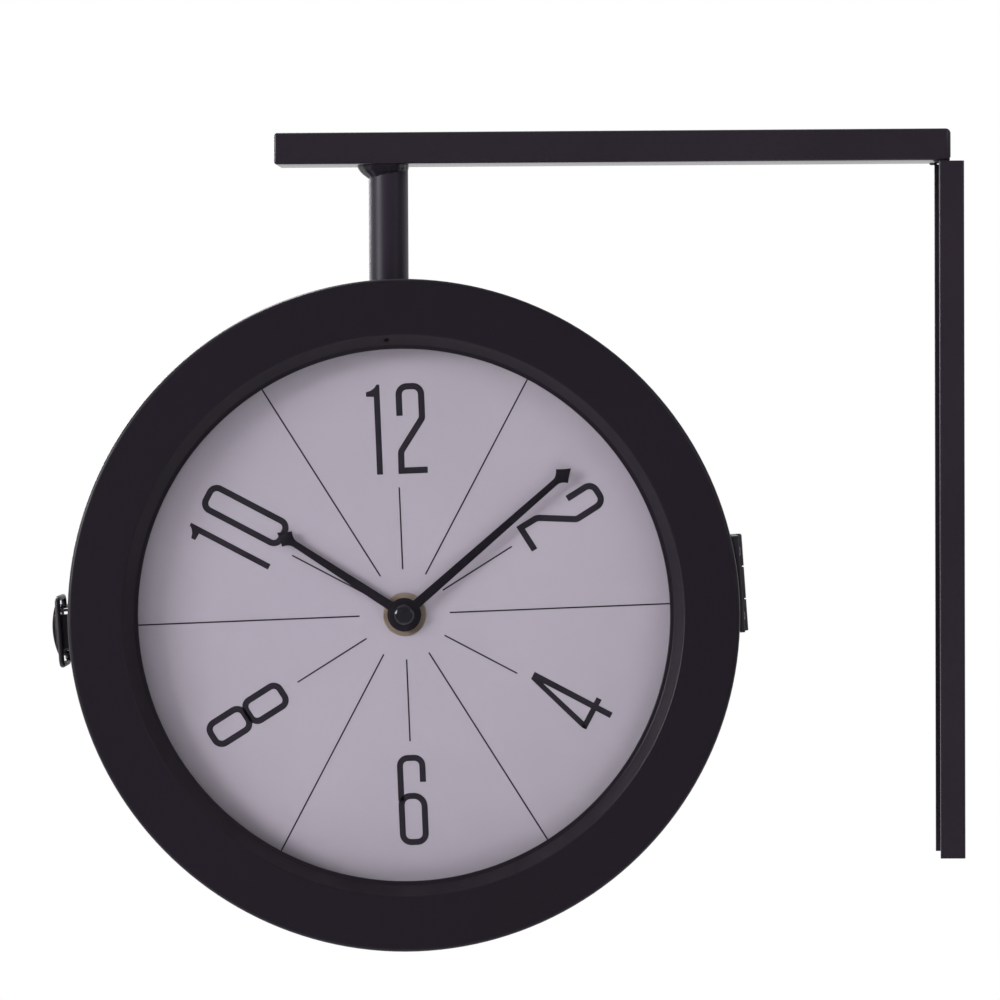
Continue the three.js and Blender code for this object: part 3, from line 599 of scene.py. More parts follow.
MOVEMENT_PLASTIC = Coating("movement_plastic", (27, 27, 30), (23, 23, 26), edge_highlight=0.4,
                           edge_highlight_colour=(70, 70, 74), grain=3200.0, depth=0.3, rough=(0.45, 0.6))
WHEEL_PLASTIC = Coating("wheel_plastic", (222, 219, 211), (212, 208, 199), edge_highlight=0.0,
                        grain=2500.0, depth=0.08, rough=(0.38, 0.5), specular=0.4)
BOARD_MASK = Coating("board_mask", (38, 92, 58), (31, 78, 50), edge_highlight=0.0, drift=400.0,
                     rough=(0.3, 0.5), specular=0.5)
BRASS = BareMetal("brass", (184, 162, 144), (118, 99, 87))
WASHER_BRASS = BareMetal("washer_brass", (218, 197, 180), (156, 137, 123), rough=(0.42, 0.55))
STEEL = BareMetal("steel", (186, 188, 192), (138, 140, 146))
COPPER = BareMetal("copper_winding", (196, 112, 66), (140, 70, 40), across=9000.0)
GLASS = ClearGlass()
JACKETS = {
    Side.FRONT: BatteryJacket("front_battery_jacket", -212.0, 1),
    Side.REAR: BatteryJacket("rear_battery_jacket", -236.5, -1),
}


Finish = Coating | BareMetal | ClearGlass | BatteryJacket


# ---------------------------------------------------------------- making meshes


def corner_arc(
    before: Vector, corner: Vector, after: Vector, radius: float, steps: int
) -> list[Vector]:
    """The points of an arc that rounds a corner of a path.

    Args:
        before: the path's point before the corner.
        corner: the corner.
        after: the path's point after it.
        radius: the arc's radius.
        steps: how many straight pieces the arc has.

    Returns:
        The arc's points, from the first straight run to the second.
    """
    first = (before - corner).normalized()
    second = (after - corner).normalized()
    half = first.angle(second) / 2
    if radius <= 0 or abs(half - math.pi / 2) < 1e-3:
        return [corner.copy()]
    reach = min(radius / math.tan(half), 0.499 * (before - corner).length,
                0.499 * (after - corner).length)
    radius = reach * math.tan(half)
    middle = corner + (first + second).normalized() * (radius / math.sin(half))
    start = corner + first * reach - middle
    end = corner + second * reach - middle
    sweep = start.angle(end)
    points = []
    for i in range(steps + 1):
        share = i / steps
        weight = math.sin((1 - share) * sweep) / math.sin(sweep)
        other = math.sin(share * sweep) / math.sin(sweep)
        points.append(middle + start * weight + end * other)
    return points


def rounded_path(
    corners: Sequence[Sequence[float]], steps: int = 6, closed: bool = True, hold: float = 0.0
) -> list[Vector]:
    """A path whose corners are rounded.

    Args:
        corners: (first, second, radius) of each corner.
        steps: straight pieces in each arc.
        closed: whether the path runs back to its start.
        hold: where over 0, a point is added this far before and after each arc, so that smooth
            shading stays off the flats.

    Returns:
        The path's points, with 0 as the third coordinate.
    """
    spots = [Vector((c[0], c[1], 0.0)) for c in corners]
    radii = [c[2] if len(c) > 2 else 0.0 for c in corners]
    points: list[Vector] = []
    count = len(spots)
    for i, spot in enumerate(spots):
        if not closed and i in (0, count - 1):
            points.append(spot)
            continue
        before, after = spots[i - 1], spots[(i + 1) % count]
        arc = corner_arc(before, spot, after, radii[i], steps)
        if hold and len(arc) > 1:
            lead, tail = (before - arc[0]), (after - arc[-1])
            if lead.length > 2.5 * hold:
                arc.insert(0, arc[0] + lead.normalized() * hold)
            if tail.length > 2.5 * hold:
                arc.append(arc[-1] + tail.normalized() * hold)
        points.extend(arc)
    return points


def loop_edges(bm: bmesh.types.BMesh, points: Sequence[Vector], closed: bool = True) -> list:
    """Puts a path into a mesh as vertices and edges, and returns the edges."""
    verts = [bm.verts.new(p) for p in points]
    pairs = zip(verts, verts[1:] + verts[:1]) if closed else zip(verts, verts[1:])
    return [bm.edges.new(pair) for pair in pairs]


def tidy(bm: bmesh.types.BMesh) -> bmesh.types.BMesh:
    """Merges doubles and turns every face outwards."""
    bmesh.ops.remove_doubles(bm, verts=bm.verts, dist=1e-4)
    bmesh.ops.dissolve_degenerate(bm, edges=bm.edges, dist=1e-5)
    bmesh.ops.recalc_face_normals(bm, faces=bm.faces)
    return bm


def thickened(bm: bmesh.types.BMesh, faces: list, height: float) -> bmesh.types.BMesh:
    """Gives flat faces a height along +Z and closes the mesh."""
    grown = bmesh.ops.extrude_face_region(bm, geom=faces, use_keep_orig=True)["geom"]
    verts = [g for g in grown if isinstance(g, bmesh.types.BMVert)]
    bmesh.ops.translate(bm, verts=verts, vec=(0, 0, height))
    return tidy(bm)


def bevelled(bm: bmesh.types.BMesh, edges: list, width: float, segments: int) -> bmesh.types.BMesh:
    """Rounds the given edges."""
    bmesh.ops.bevel(bm, geom=edges, offset=width, offset_type="OFFSET", affect="EDGES",
                    segments=segments, profile=0.5, material=-1, clamp_overlap=True)
    return bm


def spun(corners: Sequence[Sequence[float]], segments: int, steps: int = 6,
         hold: float = 0.3) -> bmesh.types.BMesh:
    """A piece turned round the Y axis from a closed profile.

    Args:
        corners: (radius, distance out along -Y, corner radius) of each corner.
        segments: steps of the turn.
        steps: straight pieces in each rounded corner.
        hold: distance of the points that keep shading off the flats.

    Returns:
        The mesh.
    """
    bm = bmesh.new()
    path = rounded_path(corners, steps, True, hold)
    edges = loop_edges(bm, [Vector((p.x, -p.y, 0.0)) for p in path])
    geometry = [v for e in edges for v in e.verts]
    bmesh.ops.spin(
        bm,
        geom=list(dict.fromkeys(geometry)) + edges,
        cent=(0, 0, 0),
        axis=(0, 1, 0),
        angle=2 * math.pi,
        steps=segments,
        use_merge=True,
        use_duplicate=False,
    )
    return tidy(bm)


def pressed(outline: Sequence[Vector], low: float, high: float,
            hole: Optional[Sequence[Vector]] = None) -> bmesh.types.BMesh:
    """A plate or bar whose outline lies in the XY plane and runs from low to high along Z.

    Args:
        outline: the outer loop.
        low: where it starts.
        high: where it ends.
        hole: an inner loop with as many points as the outer one.

    Returns:
        The mesh.
    """
    bm = bmesh.new()
    edges = loop_edges(bm, [Vector((p.x, p.y, low)) for p in outline])
    if hole is None:
        faces = bmesh.ops.contextual_create(bm, geom=edges)["faces"]
    else:
        edges += loop_edges(bm, [Vector((p.x, p.y, low)) for p in hole])
        faces = bmesh.ops.bridge_loops(bm, edges=edges)["faces"]
    return thickened(bm, faces, high - low)


def lofted(loops: Sequence[Sequence[Vector]], closed: bool) -> bmesh.types.BMesh:
    """A skin over a row of loops with as many points each.

    Args:
        loops: the loops, in order.
        closed: whether the last loop meets the first; otherwise both ends are filled.

    Returns:
        The mesh.
    """
    bm = bmesh.new()
    rings = [loop_edges(bm, loop) for loop in loops]
    following = rings[1:] + rings[:1] if closed else rings[1:]
    for first, second in zip(rings, following):
        bmesh.ops.bridge_loops(bm, edges=first + second)
    if not closed:
        for ring in (rings[0], rings[-1]):
            bmesh.ops.contextual_create(bm, geom=ring)
    return tidy(bm)


def block(size: Sequence[float], middle: Sequence[float]) -> bmesh.types.BMesh:
    """A box of a given size about a middle."""
    bm = bmesh.new()
    bmesh.ops.create_cube(bm, size=1.0)
    bmesh.ops.scale(bm, verts=bm.verts, vec=size)
    bmesh.ops.translate(bm, verts=bm.verts, vec=middle)
    return bm


def soften(bm: bmesh.types.BMesh, width: float, segments: int = 2,
           least: float = 30.0) -> bmesh.types.BMesh:
    """Rounds every edge that is sharper than an angle.

    Args:
        bm: the mesh.
        width: how far from the edge the rounding starts.
        segments: the rounding's steps.
        least: the angle in degrees.

    Returns:
        The same mesh.
    """
    bm.normal_update()
    edges = [
        e for e in bm.edges
        if len(e.link_faces) == 2 and e.calc_face_angle(0.0) > math.radians(least)
    ]
    return bevelled(bm, edges, width, segments)


def turned(bm: bmesh.types.BMesh, matrix: Matrix) -> bmesh.types.BMesh:
    """The mesh moved by a matrix."""
    bmesh.ops.transform(bm, matrix=matrix, verts=bm.verts)
    return bm


def together(*parts: bmesh.types.BMesh) -> bmesh.types.BMesh:
    """Several meshes as one; the given ones are freed."""
    whole = bmesh.new()
    for part in parts:
        mesh = bpy.data.meshes.new("part")
        part.to_mesh(mesh)
        part.free()
        whole.from_mesh(mesh)
        bpy.data.meshes.remove(mesh)
    return whole


def dome(radius: float, height: float, base: float, segments: int = 20) -> bmesh.types.BMesh:
    """A rivet or screw head along +Z: a short wall with a domed top."""
    bm = spun(
        [(0, 0, 0), (radius, 0, 0.08), (radius, height * 0.35, 0.1),
         (radius * 0.72, height * 0.86, height * 0.8), (0, height, 0)],
        segments, 4, 0.0,
    )
    return turned(bm, Matrix.Translation((0, 0, base)) @ UPRIGHT)


def roughen(bm: bmesh.types.BMesh, size: float, depth: float, seed: float) -> bmesh.types.BMesh:
    """Moves the vertices along their normals by smooth noise, as in a weld bead."""
    bm.normal_update()
    for vert in bm.verts:
        spot = vert.co / size + Vector((seed, seed * 1.7, -seed))
        vert.co += vert.normal * (noise.noise(spot) * depth)
    return bm


def object_from(name: str, bm: bmesh.types.BMesh, placement: Matrix,
                sharp: float = SMOOTH_UNDER) -> bpy.types.Object:
    """A finished mesh object in the row frame, in metres, at the origin.

    Args:
        name: the piece's name.
        bm: its mesh in millimetres; it is freed.
        placement: the matrix of its frame.
        sharp: edges over this angle in degrees stay sharp.

    Returns:
        The object, linked to the scene.
    """
    bmesh.ops.transform(bm, matrix=Matrix.Scale(MM, 4) @ placement, verts=bm.verts)
    if placement.determinant() < 0:
        bmesh.ops.reverse_faces(bm, faces=bm.faces)
    mesh = bpy.data.meshes.new(name)
    bm.to_mesh(mesh)
    bm.free()
    mesh.shade_smooth()
    mesh.set_sharp_from_angle(angle=math.radians(sharp))
    made = bpy.data.objects.new(name, mesh)
    bpy.context.scene.collection.objects.link(made)
    return made


def carve(made: bpy.types.Object, cutter: bmesh.types.BMesh, placement: Matrix) -> None:
    """Cuts a closed mesh out of a finished object, for good.

    Args:
        made: the object; its new mesh keeps the old one's name.
        cutter: the mesh to cut out, in millimetres; it is freed.
        placement: the matrix of its frame.
    """
    tool = object_from("cutter", cutter, placement)
    bit = made.modifiers.new("cut", "BOOLEAN")
    bit.operation = "DIFFERENCE"
    bit.solver = "EXACT"
    bit.object = tool
    bpy.context.view_layer.update()
    graph = bpy.context.evaluated_depsgraph_get()
    mesh = bpy.data.meshes.new_from_object(made.evaluated_get(graph))
    made.modifiers.clear()
    old, made.data = made.data, mesh
    name = old.name
    bpy.data.meshes.remove(old)
    mesh.name = name
    mesh.set_sharp_from_angle(angle=math.radians(SMOOTH_UNDER))
    bpy.data.objects.remove(tool)


def finish_piece(made: bpy.types.Object, finish: Finish, *nodes: str,
                 body_of: Optional[str] = None, slot: Optional[str] = None) -> bpy.types.Object:
    """Gives a new piece its finish and its body, and hides the CAD nodes that it stands for.

    Args:
        made: the piece.
        finish: its finish.
        nodes: the CAD nodes that it stands for.
        body_of: a CAD node on whose body it rides, where it stands for none.
        slot: not used.

    Returns:
        The piece.
    """
    made.data.materials.clear()
    made.data.materials.append(finish.material())
    carrier = nodes[0] if nodes else body_of
    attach(made, frame["nodes"][carrier]["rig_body"])
    if nodes:
        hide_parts(*nodes)
    LOG.info("made %s", made.name)
    return made


def dress(node: str, finish: Finish) -> None:
    """Gives a carried-over CAD node its finish."""
    kept = frame["nodes"][node]
    for slot in kept.material_slots:
        slot.material = finish.material()
    LOG.info("dressed %s", node)


# ---------------------------------------------------------------- bracket


@dataclass
class Bracket:
    """The wall rail, the arm on top of it and the stem that carries the case."""

    rail_length: float = 280.0
    rail_width: float = 30.0
    rail_depth: float = 10.0
    rail_wall: float = 1.5
    rail_bend: float = 1.1
    hole_radius: float = 2.6
    hole_height: float = 112.0
    countersink: float = 1.6
    arm_width: float = 28.0
    arm_height: float = 12.7
    arm_wall: float = 1.2
    arm_corner: float = 1.0
    arm_end_x: float = -277.0
    arm_wall_x: float = -5.2
    arm_under: float = 140.3
    arm_free_round: float = 1.1
    arm_wall_round: float = 2.2
    stem_radius: float = 8.0
    stem_wall: float = 1.6
    stem_foot: float = 79.6
    weld_out: Point2 = (0.5, 4.6)
    weld_down: Point2 = (2.4, 5.2)
    spot_weld: Point3 = (1.7, 1.0, 0.5)
    spot_inset: float = 1.4

    def make(self) -> None:
        """Builds and dresses every piece of the bracket."""
        self.make_rail()
        self.make_arm()
        self.make_stem()
        self.make_welds()
        dress("stem_saddle_washer", STEEL)
        dress("stem_lock_nut", STEEL)

    def make_rail(self) -> None:
        """The channel, bent from sheet, with its two countersunk screw holes."""
        half, wall, depth, bend = (
            self.rail_width / 2, self.rail_wall, self.rail_depth, self.rail_bend)
        outline = rounded_path([
            (0, -half, bend), (0, half, bend), (-depth, half, 0.5), (-depth, half - wall, 0.3),
            (-wall, half - wall, 0.4), (-wall, wall - half, 0.4), (-depth, wall - half, 0.3),
            (-depth, -half, 0.5),
        ], 4, True, 0.3)
        bm = pressed(outline, -self.rail_length / 2, self.rail_length / 2)
        rail = object_from("rail", bm, Matrix.Identity(4))
        to_x = Matrix.Rotation(-math.pi / 2, 4, "Z")
        narrow, wide, past = self.hole_radius, self.hole_radius + self.countersink, wall + 0.8
        for height in (-self.hole_height, self.hole_height):
            drill = spun([(0, -1, 0), (narrow, -1, 0), (narrow, wall / 2, 0), (wide, past, 0),
                          (0, past, 0)], 32, 1, 0)
            carve(rail, drill, Matrix.Translation((0, 0, height)) @ to_x)
        finish_piece(rail, BRACKET_COAT, "wall_rail")

    def section(self, inset: float, under: float, x: float) -> list[Vector]:
        """The arm's outline at a place along it, drawn in by an inset and less or more below."""
        across, up = self.arm_width / 2 - inset, self.arm_height / 2 - inset
        down = self.arm_height / 2 - under
        corner = max(self.arm_corner - inset, 0.3)
        path = rounded_path([(-across, -down, corner), (across, -down, corner),
                             (across, up, corner), (-across, up, corner)], 5)
        middle = self.arm_under + self.arm_height / 2
        return [Vector((x, p.x, p.y + middle)) for p in path]

    def rim(self, end: float, way: int, radius: float) -> list[Point2]:
        """How an end of the arm rounds off, as (inset, x) from the side to the end face."""
        steps = 10
        turns = [math.pi / 2 * i / steps for i in range(steps + 1)]
        return [(radius * (1 - math.cos(t)), end + way * radius * (1 - math.sin(t)))
                for t in turns]

    def make_arm(self) -> None:
        """The tube, rounded at its ends but square over the rail, with a plate in each end."""
        wall = self.arm_wall
        free = self.rim(self.arm_end_x, 1, self.arm_free_round)
        far = self.rim(self.arm_wall_x, -1, self.arm_wall_round)
        skin = [self.section(inset, inset, x) for inset, x in free if inset <= wall][::-1]
        skin += [self.section(inset, 0.0, x) for inset, x in far if inset <= wall]
        skin += [self.section(wall, wall, skin[-1][0].x), self.section(wall, wall, skin[0][0].x)]
        still = Matrix.Identity(4)
        finish_piece(object_from("arm", lofted(skin, True), still), BRACKET_COAT, "arm_tube")
        inside = wall + 0.05
        for name, rim, way in (("free", free, 1), ("wall", far, -1)):
            past = [spot for spot in rim if spot[0] > inside] or [(inside, rim[-1][1])]
            past = [(inside, rim[-1][1] + way * 1.5), (inside, past[0][1] + way * 0.05), *past]
            plate = lofted([self.section(inset, inside, x) for inset, x in past], False)
            made = object_from(f"arm_end_{name}", plate, still)
            finish_piece(made, BRACKET_COAT, f"arm_end_plate_{name}")

    def make_stem(self) -> None:
        """The round tube between the arm and the inside of the case."""
        top, foot = self.arm_under - 0.05, self.stem_foot
        inner, outer = self.stem_radius - self.stem_wall, self.stem_radius
        tube = spun([(inner, top, 0.2), (outer, top, 0.2), (outer, foot, 0.4), (inner, foot, 0.2)],
                    64, 3, 0.5)
        upright = Matrix.Translation((PLACES.stem_x, 0, 0)) @ UPRIGHT
        finish_piece(object_from("stem", tube, upright), STEM_COAT, "stem_tube")

    def make_welds(self) -> None:
        """The bead round the stem's top and the two short welds where arm and rail meet."""
        inner = self.stem_radius - 0.2
        bead = bmesh.new()
        bmesh.ops.create_grid(bead, x_segments=120, y_segments=12, size=0.5)
        for vert in bead.verts:
            angle = (vert.co.x + 0.5) * 2 * math.pi
            share = (vert.co.y + 0.5) * math.pi / 2
            lump = 0.4 * noise.noise(Vector((math.cos(angle), math.sin(angle), share)) * 1.5)
            lump += 0.1 * math.sin(angle * 17)
            out = (self.swell(self.weld_out, angle) + lump) * math.cos(share) ** 1.6
            down = (self.swell(self.weld_down, angle) + lump) * math.sin(share) ** 1.3
            vert.co = Vector(((inner + out) * math.cos(angle), (inner + out) * math.sin(angle),
                              self.arm_under - 0.02 - down))
        tidy(bead)
        rims = [e for e in bead.edges if len(e.link_faces) == 1]
        bmesh.ops.bridge_loops(bead, edges=rims)
        bmesh.ops.recalc_face_normals(bead, faces=bead.faces)
        made = object_from("stem_bead", bead, Matrix.Translation((PLACES.stem_x, 0, 0)), 60.0)
        finish_piece(made, WELD_COAT, "stem_weld")
        for name, side in (("rail_weld_front", -1), ("rail_weld_rear", 1)):
            spot = bmesh.new()
            bmesh.ops.create_icosphere(spot, subdivisions=4, radius=1.0)
            bmesh.ops.scale(spot, verts=spot.verts, vec=self.spot_weld)
            roughen(spot, 1.1, 0.2, side * 3.1)
            place = (-self.rail_depth - 0.5, side * (self.arm_width / 2 - self.spot_inset),
                     self.arm_under - 0.15)
            made = object_from(name, spot, Matrix.Translation(place), 70.0)
            finish_piece(made, WELD_COAT, body_of="stem_weld")

    def swell(self, reach: Point2, angle: float) -> float:
        """A bead size that runs from its least on the wall side to its most on the other."""
        least, most = reach
        return (least + most) / 2 - (most - least) / 2 * math.cos(angle)


# ---------------------------------------------------------------- case


# How deep each half's shell is, from its face to the seam.
SHELL_DEPTHS = {Side.FRONT: 20.8, Side.REAR: 52.8}


@dataclass
class CaseHalf:
    """One pressed shell with its screw, glass, spacer ring and dial carrier."""

    side: Side
    radius: float = 134.1
    sheet: float = 1.0
    edge: float = 1.6
    flange: float = 1.6
    face_out: float = 14.0
    bevel_outer: float = 112.0
    bevel_inner: float = 107.9
    bevel_depth: float = 5.0
    opening: float = 106.3
    stem_hole: float = 8.3
    stem_hole_z: float = 92.0
    screw_turn: float = 1.0
    screw_radius: float = 1.05
    screw_height: float = 0.55
    slot_half_angle: float = 0.2
    slot_depth: float = 0.03
    shank_radius: float = 0.5
    shank_length: float = 2.0
    spacer_inner: float = 108.6
    spacer_outer: float = 112.6
    spacer_low: float = 0.3
    spacer_high: float = 5.4
    segments: int = 180

    def make(self) -> None:
        """Builds and dresses this half's case pieces."""
        self.make_shell()
        self.make_screw()
        self.make_spacer()
        dress(self.side.node("glass"), GLASS)
        dress(self.side.node("dial_carrier"), SPACER_BLACK)

    def make_shell(self) -> None:
        """The shell: side wall, round edge, face ring, bevel, lip and seam flange."""
        rim = self.face_out - SHELL_DEPTHS[self.side]
        lip = self.face_out - self.bevel_depth
        inside = self.radius - self.sheet
        slope = self.sheet * 0.43
        profile = [
            (self.radius, rim, 0.25), (self.radius, self.face_out, self.edge),
            (self.bevel_outer, self.face_out, 0.7), (self.bevel_inner, lip, 0.5),
            (self.opening, lip, 0.35), (self.opening, lip - self.sheet, 0.2),
            (self.bevel_inner + slope, lip - self.sheet, 0.2),
            (self.bevel_outer + slope, self.face_out - self.sheet, 0.3),
            (inside, self.face_out - self.sheet, self.edge - self.sheet),
            (inside, rim + self.sheet, 0.3), (inside - self.flange, rim + self.sheet, 0.2),
            (inside - self.flange, rim, 0.2),
        ]
        shell = object_from(f"{self.side.value}_case", spun(profile, self.segments, 6, 0.35),
                            PLACES.half(self.side))
        if self.side is Side.REAR:
            drill = bmesh.new()
            bmesh.ops.create_cone(drill, cap_ends=True, segments=48, radius1=self.stem_hole,
                                  radius2=self.stem_hole, depth=40.0)
            carve(shell, drill, Matrix.Translation((PLACES.stem_x, 0, self.stem_hole_z)))
        finish_piece(shell, CASE_COAT, self.side.node("shell"))

    def make_screw(self) -> None:
        """The small screw in the bevel, with a cross in its domed head."""
        head = dome(self.screw_radius, self.screw_height, 0.0, 24)
        for turn in (0.0, math.pi / 2):
            for face in [f for f in head.faces if f.calc_center_median().z > 0.5]:
                centre = face.calc_center_median()
                if abs(math.atan2(centre.y, centre.x) - turn) < self.slot_half_angle:
                    bmesh.ops.translate(head, verts=face.verts, vec=(0, 0, -self.slot_depth))
        thin, deep, top = self.shank_radius, -self.shank_length, 0.1
        shank = spun([(0, deep, 0), (thin, deep, 0), (thin, top, 0), (0, top, 0)], 16, 1, 0)
        turned(shank, UPRIGHT)
        lean = math.atan2(self.bevel_outer - self.bevel_inner, self.bevel_depth)
        middle = (self.bevel_outer + self.bevel_inner) / 2
        # +Z of the head turns to face out of the bevel: forward and in to the middle.
        face = Matrix.Rotation(math.pi / 2 + (math.pi / 2 - lean), 4, "X")
        place = Matrix.Translation((0, -(self.face_out - self.bevel_depth / 2), middle))
        roll = Matrix.Rotation(-math.radians(self.screw_turn), 4, "Y")
        made = object_from(f"{self.side.value}_screw", together(head, shank),
                           PLACES.half(self.side) @ roll @ place @ face)
        finish_piece(made, SCREW_BLACK, self.side.node("bezel_screw"))

    def make_spacer(self) -> None:
        """The ring that keeps the dial off the glass."""
        inner, outer, low, high = (
            self.spacer_inner, self.spacer_outer, self.spacer_low, self.spacer_high)
        ring = spun([(inner, low, 0.3), (outer, low, 0.3), (outer, high, 0.3), (inner, high, 0.3)],
                    120, 2, 0.3)
        made = object_from(f"{self.side.value}_spacer", ring, PLACES.half(self.side))
        finish_piece(made, SPACER_BLACK, self.side.node("spacer_ring"))


# ---------------------------------------------------------------- dial print


def stroke(corners: Sequence[Sequence[float]], width: float, thick: float,
           closed: bool = False, steps: int = 8) -> bmesh.types.BMesh:
    """A printed stroke of one width along a path with rounded corners, in the XY plane.

    Args:
        corners: (x, y, corner radius) of the stroke's middle line.
        width: the stroke's width.
        thick: how far the ink stands up along +Z.
        closed: whether the line runs back to its start.
        steps: straight pieces in each arc.

    Returns:
        The mesh.
    """
    path = rounded_path(corners, steps, closed)
    count = len(path)
    left: list[Vector] = []
    right: list[Vector] = []
    for i, spot in enumerate(path):
        ahead = path[(i + 1) % count] - spot if closed or i < count - 1 else None
        behind = spot - path[i - 1] if closed or i else None
        come = (behind or ahead).normalized()
        go = (ahead or behind).normalized()
        square = Vector((-come.y, come.x, 0))
        across = square + Vector((-go.y, go.x, 0))
        across.normalize()
        across *= width / 2 / max(across.dot(square), 0.4)
        left.append(spot + across)
        right.append(spot - across)
    if closed:
        return pressed(left, 0, thick, right)
    return pressed(left + right[::-1], 0, thick)


@dataclass(frozen=True)
class Digit:
    """One printed digit: its strokes as corner lists, and solid shapes as outlines.

    A digit is drawn with its foot at height 0 and its middle at x = 0.
    """

    open_strokes: tuple = ()
    loops: tuple = ()
    shapes: tuple = ()
    width: float = 2.55

    def mesh(self, thick: float) -> bmesh.types.BMesh:
        """The digit's mesh, flat in the XY plane."""
        parts = [stroke(s, self.width, thick) for s in self.open_strokes]
        parts += [stroke(s, self.width, thick, True) for s in self.loops]
        parts += [pressed(rounded_path(s, 4), 0, thick) for s in self.shapes]
        return together(*parts)


DIGIT_ONE = Digit(shapes=(
    ((-1.2, 0, 0), (1.2, 0, 0), (1.2, 36.1, 0), (0.0, 36.1, 0), (-0.75, 34.9, 1.5),
     (-2.4, 33.7, 2.5), (-4.3, 33.2, 0), (-4.3, 31.4, 0), (-1.2, 31.2, 0)),
))
DIGIT_TWO = Digit(open_strokes=(
    ((-4.5, 23.2), (-4.5, 34.9, 3.3), (4.5, 34.9, 3.3), (4.5, 22.0, 2.2), (-4.5, 8.9, 3.4),
     (-4.6, 1.2, 0), (5.9, 1.2)),
))
DIGIT_FOUR = Digit(shapes=(
    ((1.35, 0, 0), (3.8, 0, 0), (3.85, 35.3, 0), (0.6, 35.3, 0), (0.85, 30.2, 0), (1.35, 29.8, 0)),
    ((0.6, 35.3, 0), (-7.2, 8.2, 0.3), (-7.1, 6.3, 0.2), (-4.7, 8.6, 0), (1.4, 30.6, 0)),
    ((-7.1, 6.3, 0), (6.35, 6.3, 0), (6.35, 8.6, 0), (-5.2, 8.6, 0), (-7.2, 8.2, 0.3)),
))
DIGIT_SIX = Digit(open_strokes=(
    ((4.5, 25.3), (4.5, 35.1, 3.2), (-4.5, 35.1, 3.2), (-4.5, 18.0)),
), loops=(
    ((-4.5, 1.25, 3.4), (4.7, 1.25, 3.4), (4.7, 19.8, 4.3), (-4.5, 19.8, 3.6)),
), width=2.45)
DIGIT_EIGHT = Digit(loops=(
    ((-4.6, 1.25, 3.2), (4.9, 1.25, 3.2), (4.9, 17.0, 3.2), (-4.6, 17.0, 3.2)),
    ((-4.6, 18.4, 3.0), (4.7, 18.4, 3.0), (4.7, 34.4, 3.0), (-4.6, 34.4, 3.0)),
))
DIGIT_ZERO = Digit(loops=(
    ((-4.85, 1.15, 3.1), (4.85, 1.15, 3.1), (4.85, 35.0, 3.1), (-4.85, 35.0, 3.1)),
))


@dataclass(frozen=True)
class Numeral:
    """A number on the dial: its digits with their x places, and where it stands."""

    hour: int
    digits: tuple
    top: Top
    foot: float
    shift: float = 0.0


NUMERALS = (
    Numeral(12, ((DIGIT_ONE, -7.45), (DIGIT_TWO, 5.85)), Top.OUTWARD, 56.4),
    Numeral(2, ((DIGIT_TWO, 0.2),), Top.OUTWARD, 56.7),
    Numeral(4, ((DIGIT_FOUR, 0.0),), Top.INWARD, 92.15),
    Numeral(6, ((DIGIT_SIX, 0.0),), Top.INWARD, 92.8),
    Numeral(8, ((DIGIT_EIGHT, 0.2),), Top.INWARD, 92.9),
    Numeral(10, ((DIGIT_ONE, -8.4), (DIGIT_ZERO, 5.45)), Top.OUTWARD, 57.0),
)


@dataclass
class DialPrint:
    """The card of one dial with its printed lines and numbers."""

    side: Side
    line_inner: float = 18.1
    line_outer: float = 108.4
    line_short: float = 51.0
    line_width: float = 0.6
    lift: float = 0.012
    ink: float = 0.03

    def make(self) -> None:
        """Dresses the dial card and prints on it."""
        dress(self.side.node("dial_plate"), DIAL_CARD)
        self.make_lines()
        for numeral in NUMERALS:
            self.make_numeral(numeral)

    def upright(self) -> Matrix:
        """From a drawing with +Y up and +Z towards the viewer to the row frame."""
        stand = Matrix.Rotation(math.pi / 2, 4, "X")
        return PLACES.half(self.side) @ Matrix.Translation((0, -self.lift, 0)) @ stand

    def make_lines(self) -> None:
        """Twelve thin lines: to the edge at the odd hours, short at the even ones."""
        lines = []
        for hour in range(12):
            end = self.line_outer if hour % 2 else self.line_short
            line = stroke(((0, self.line_inner), (0, end)), self.line_width, self.ink)
            lines.append(turned(line, Matrix.Rotation(-math.radians(30 * hour), 4, "Z")))
        made = object_from(f"{self.side.value}_dial_lines", together(*lines), self.upright())
        finish_piece(made, DIAL_INK, body_of=self.side.node("dial_plate"), slot="hand_black")

    def make_numeral(self, numeral: Numeral) -> None:
        """Prints one number at its hour.

        Args:
            numeral: the number and where it stands.
        """
        digits = []
        for digit, x in numeral.digits:
            digits.append(turned(digit.mesh(self.ink), Matrix.Translation((x, 0, 0))))
        outward = numeral.top is Top.OUTWARD
        foot = numeral.foot if outward else -numeral.foot
        hour_turn = Matrix.Rotation(-math.radians(30 * numeral.hour), 4, "Z")
        flip = Matrix.Identity(4) if outward else Matrix.Rotation(math.pi, 4, "Z")
        place = hour_turn @ flip @ Matrix.Translation((numeral.shift, foot, 0))
        made = object_from(f"{self.side.value}_numeral_{numeral.hour}", together(*digits),
                           self.upright() @ place)
        finish_piece(made, DIAL_INK, body_of=self.side.node("dial_plate"), slot="hand_black")


# ---------------------------------------------------------------- movement and hands


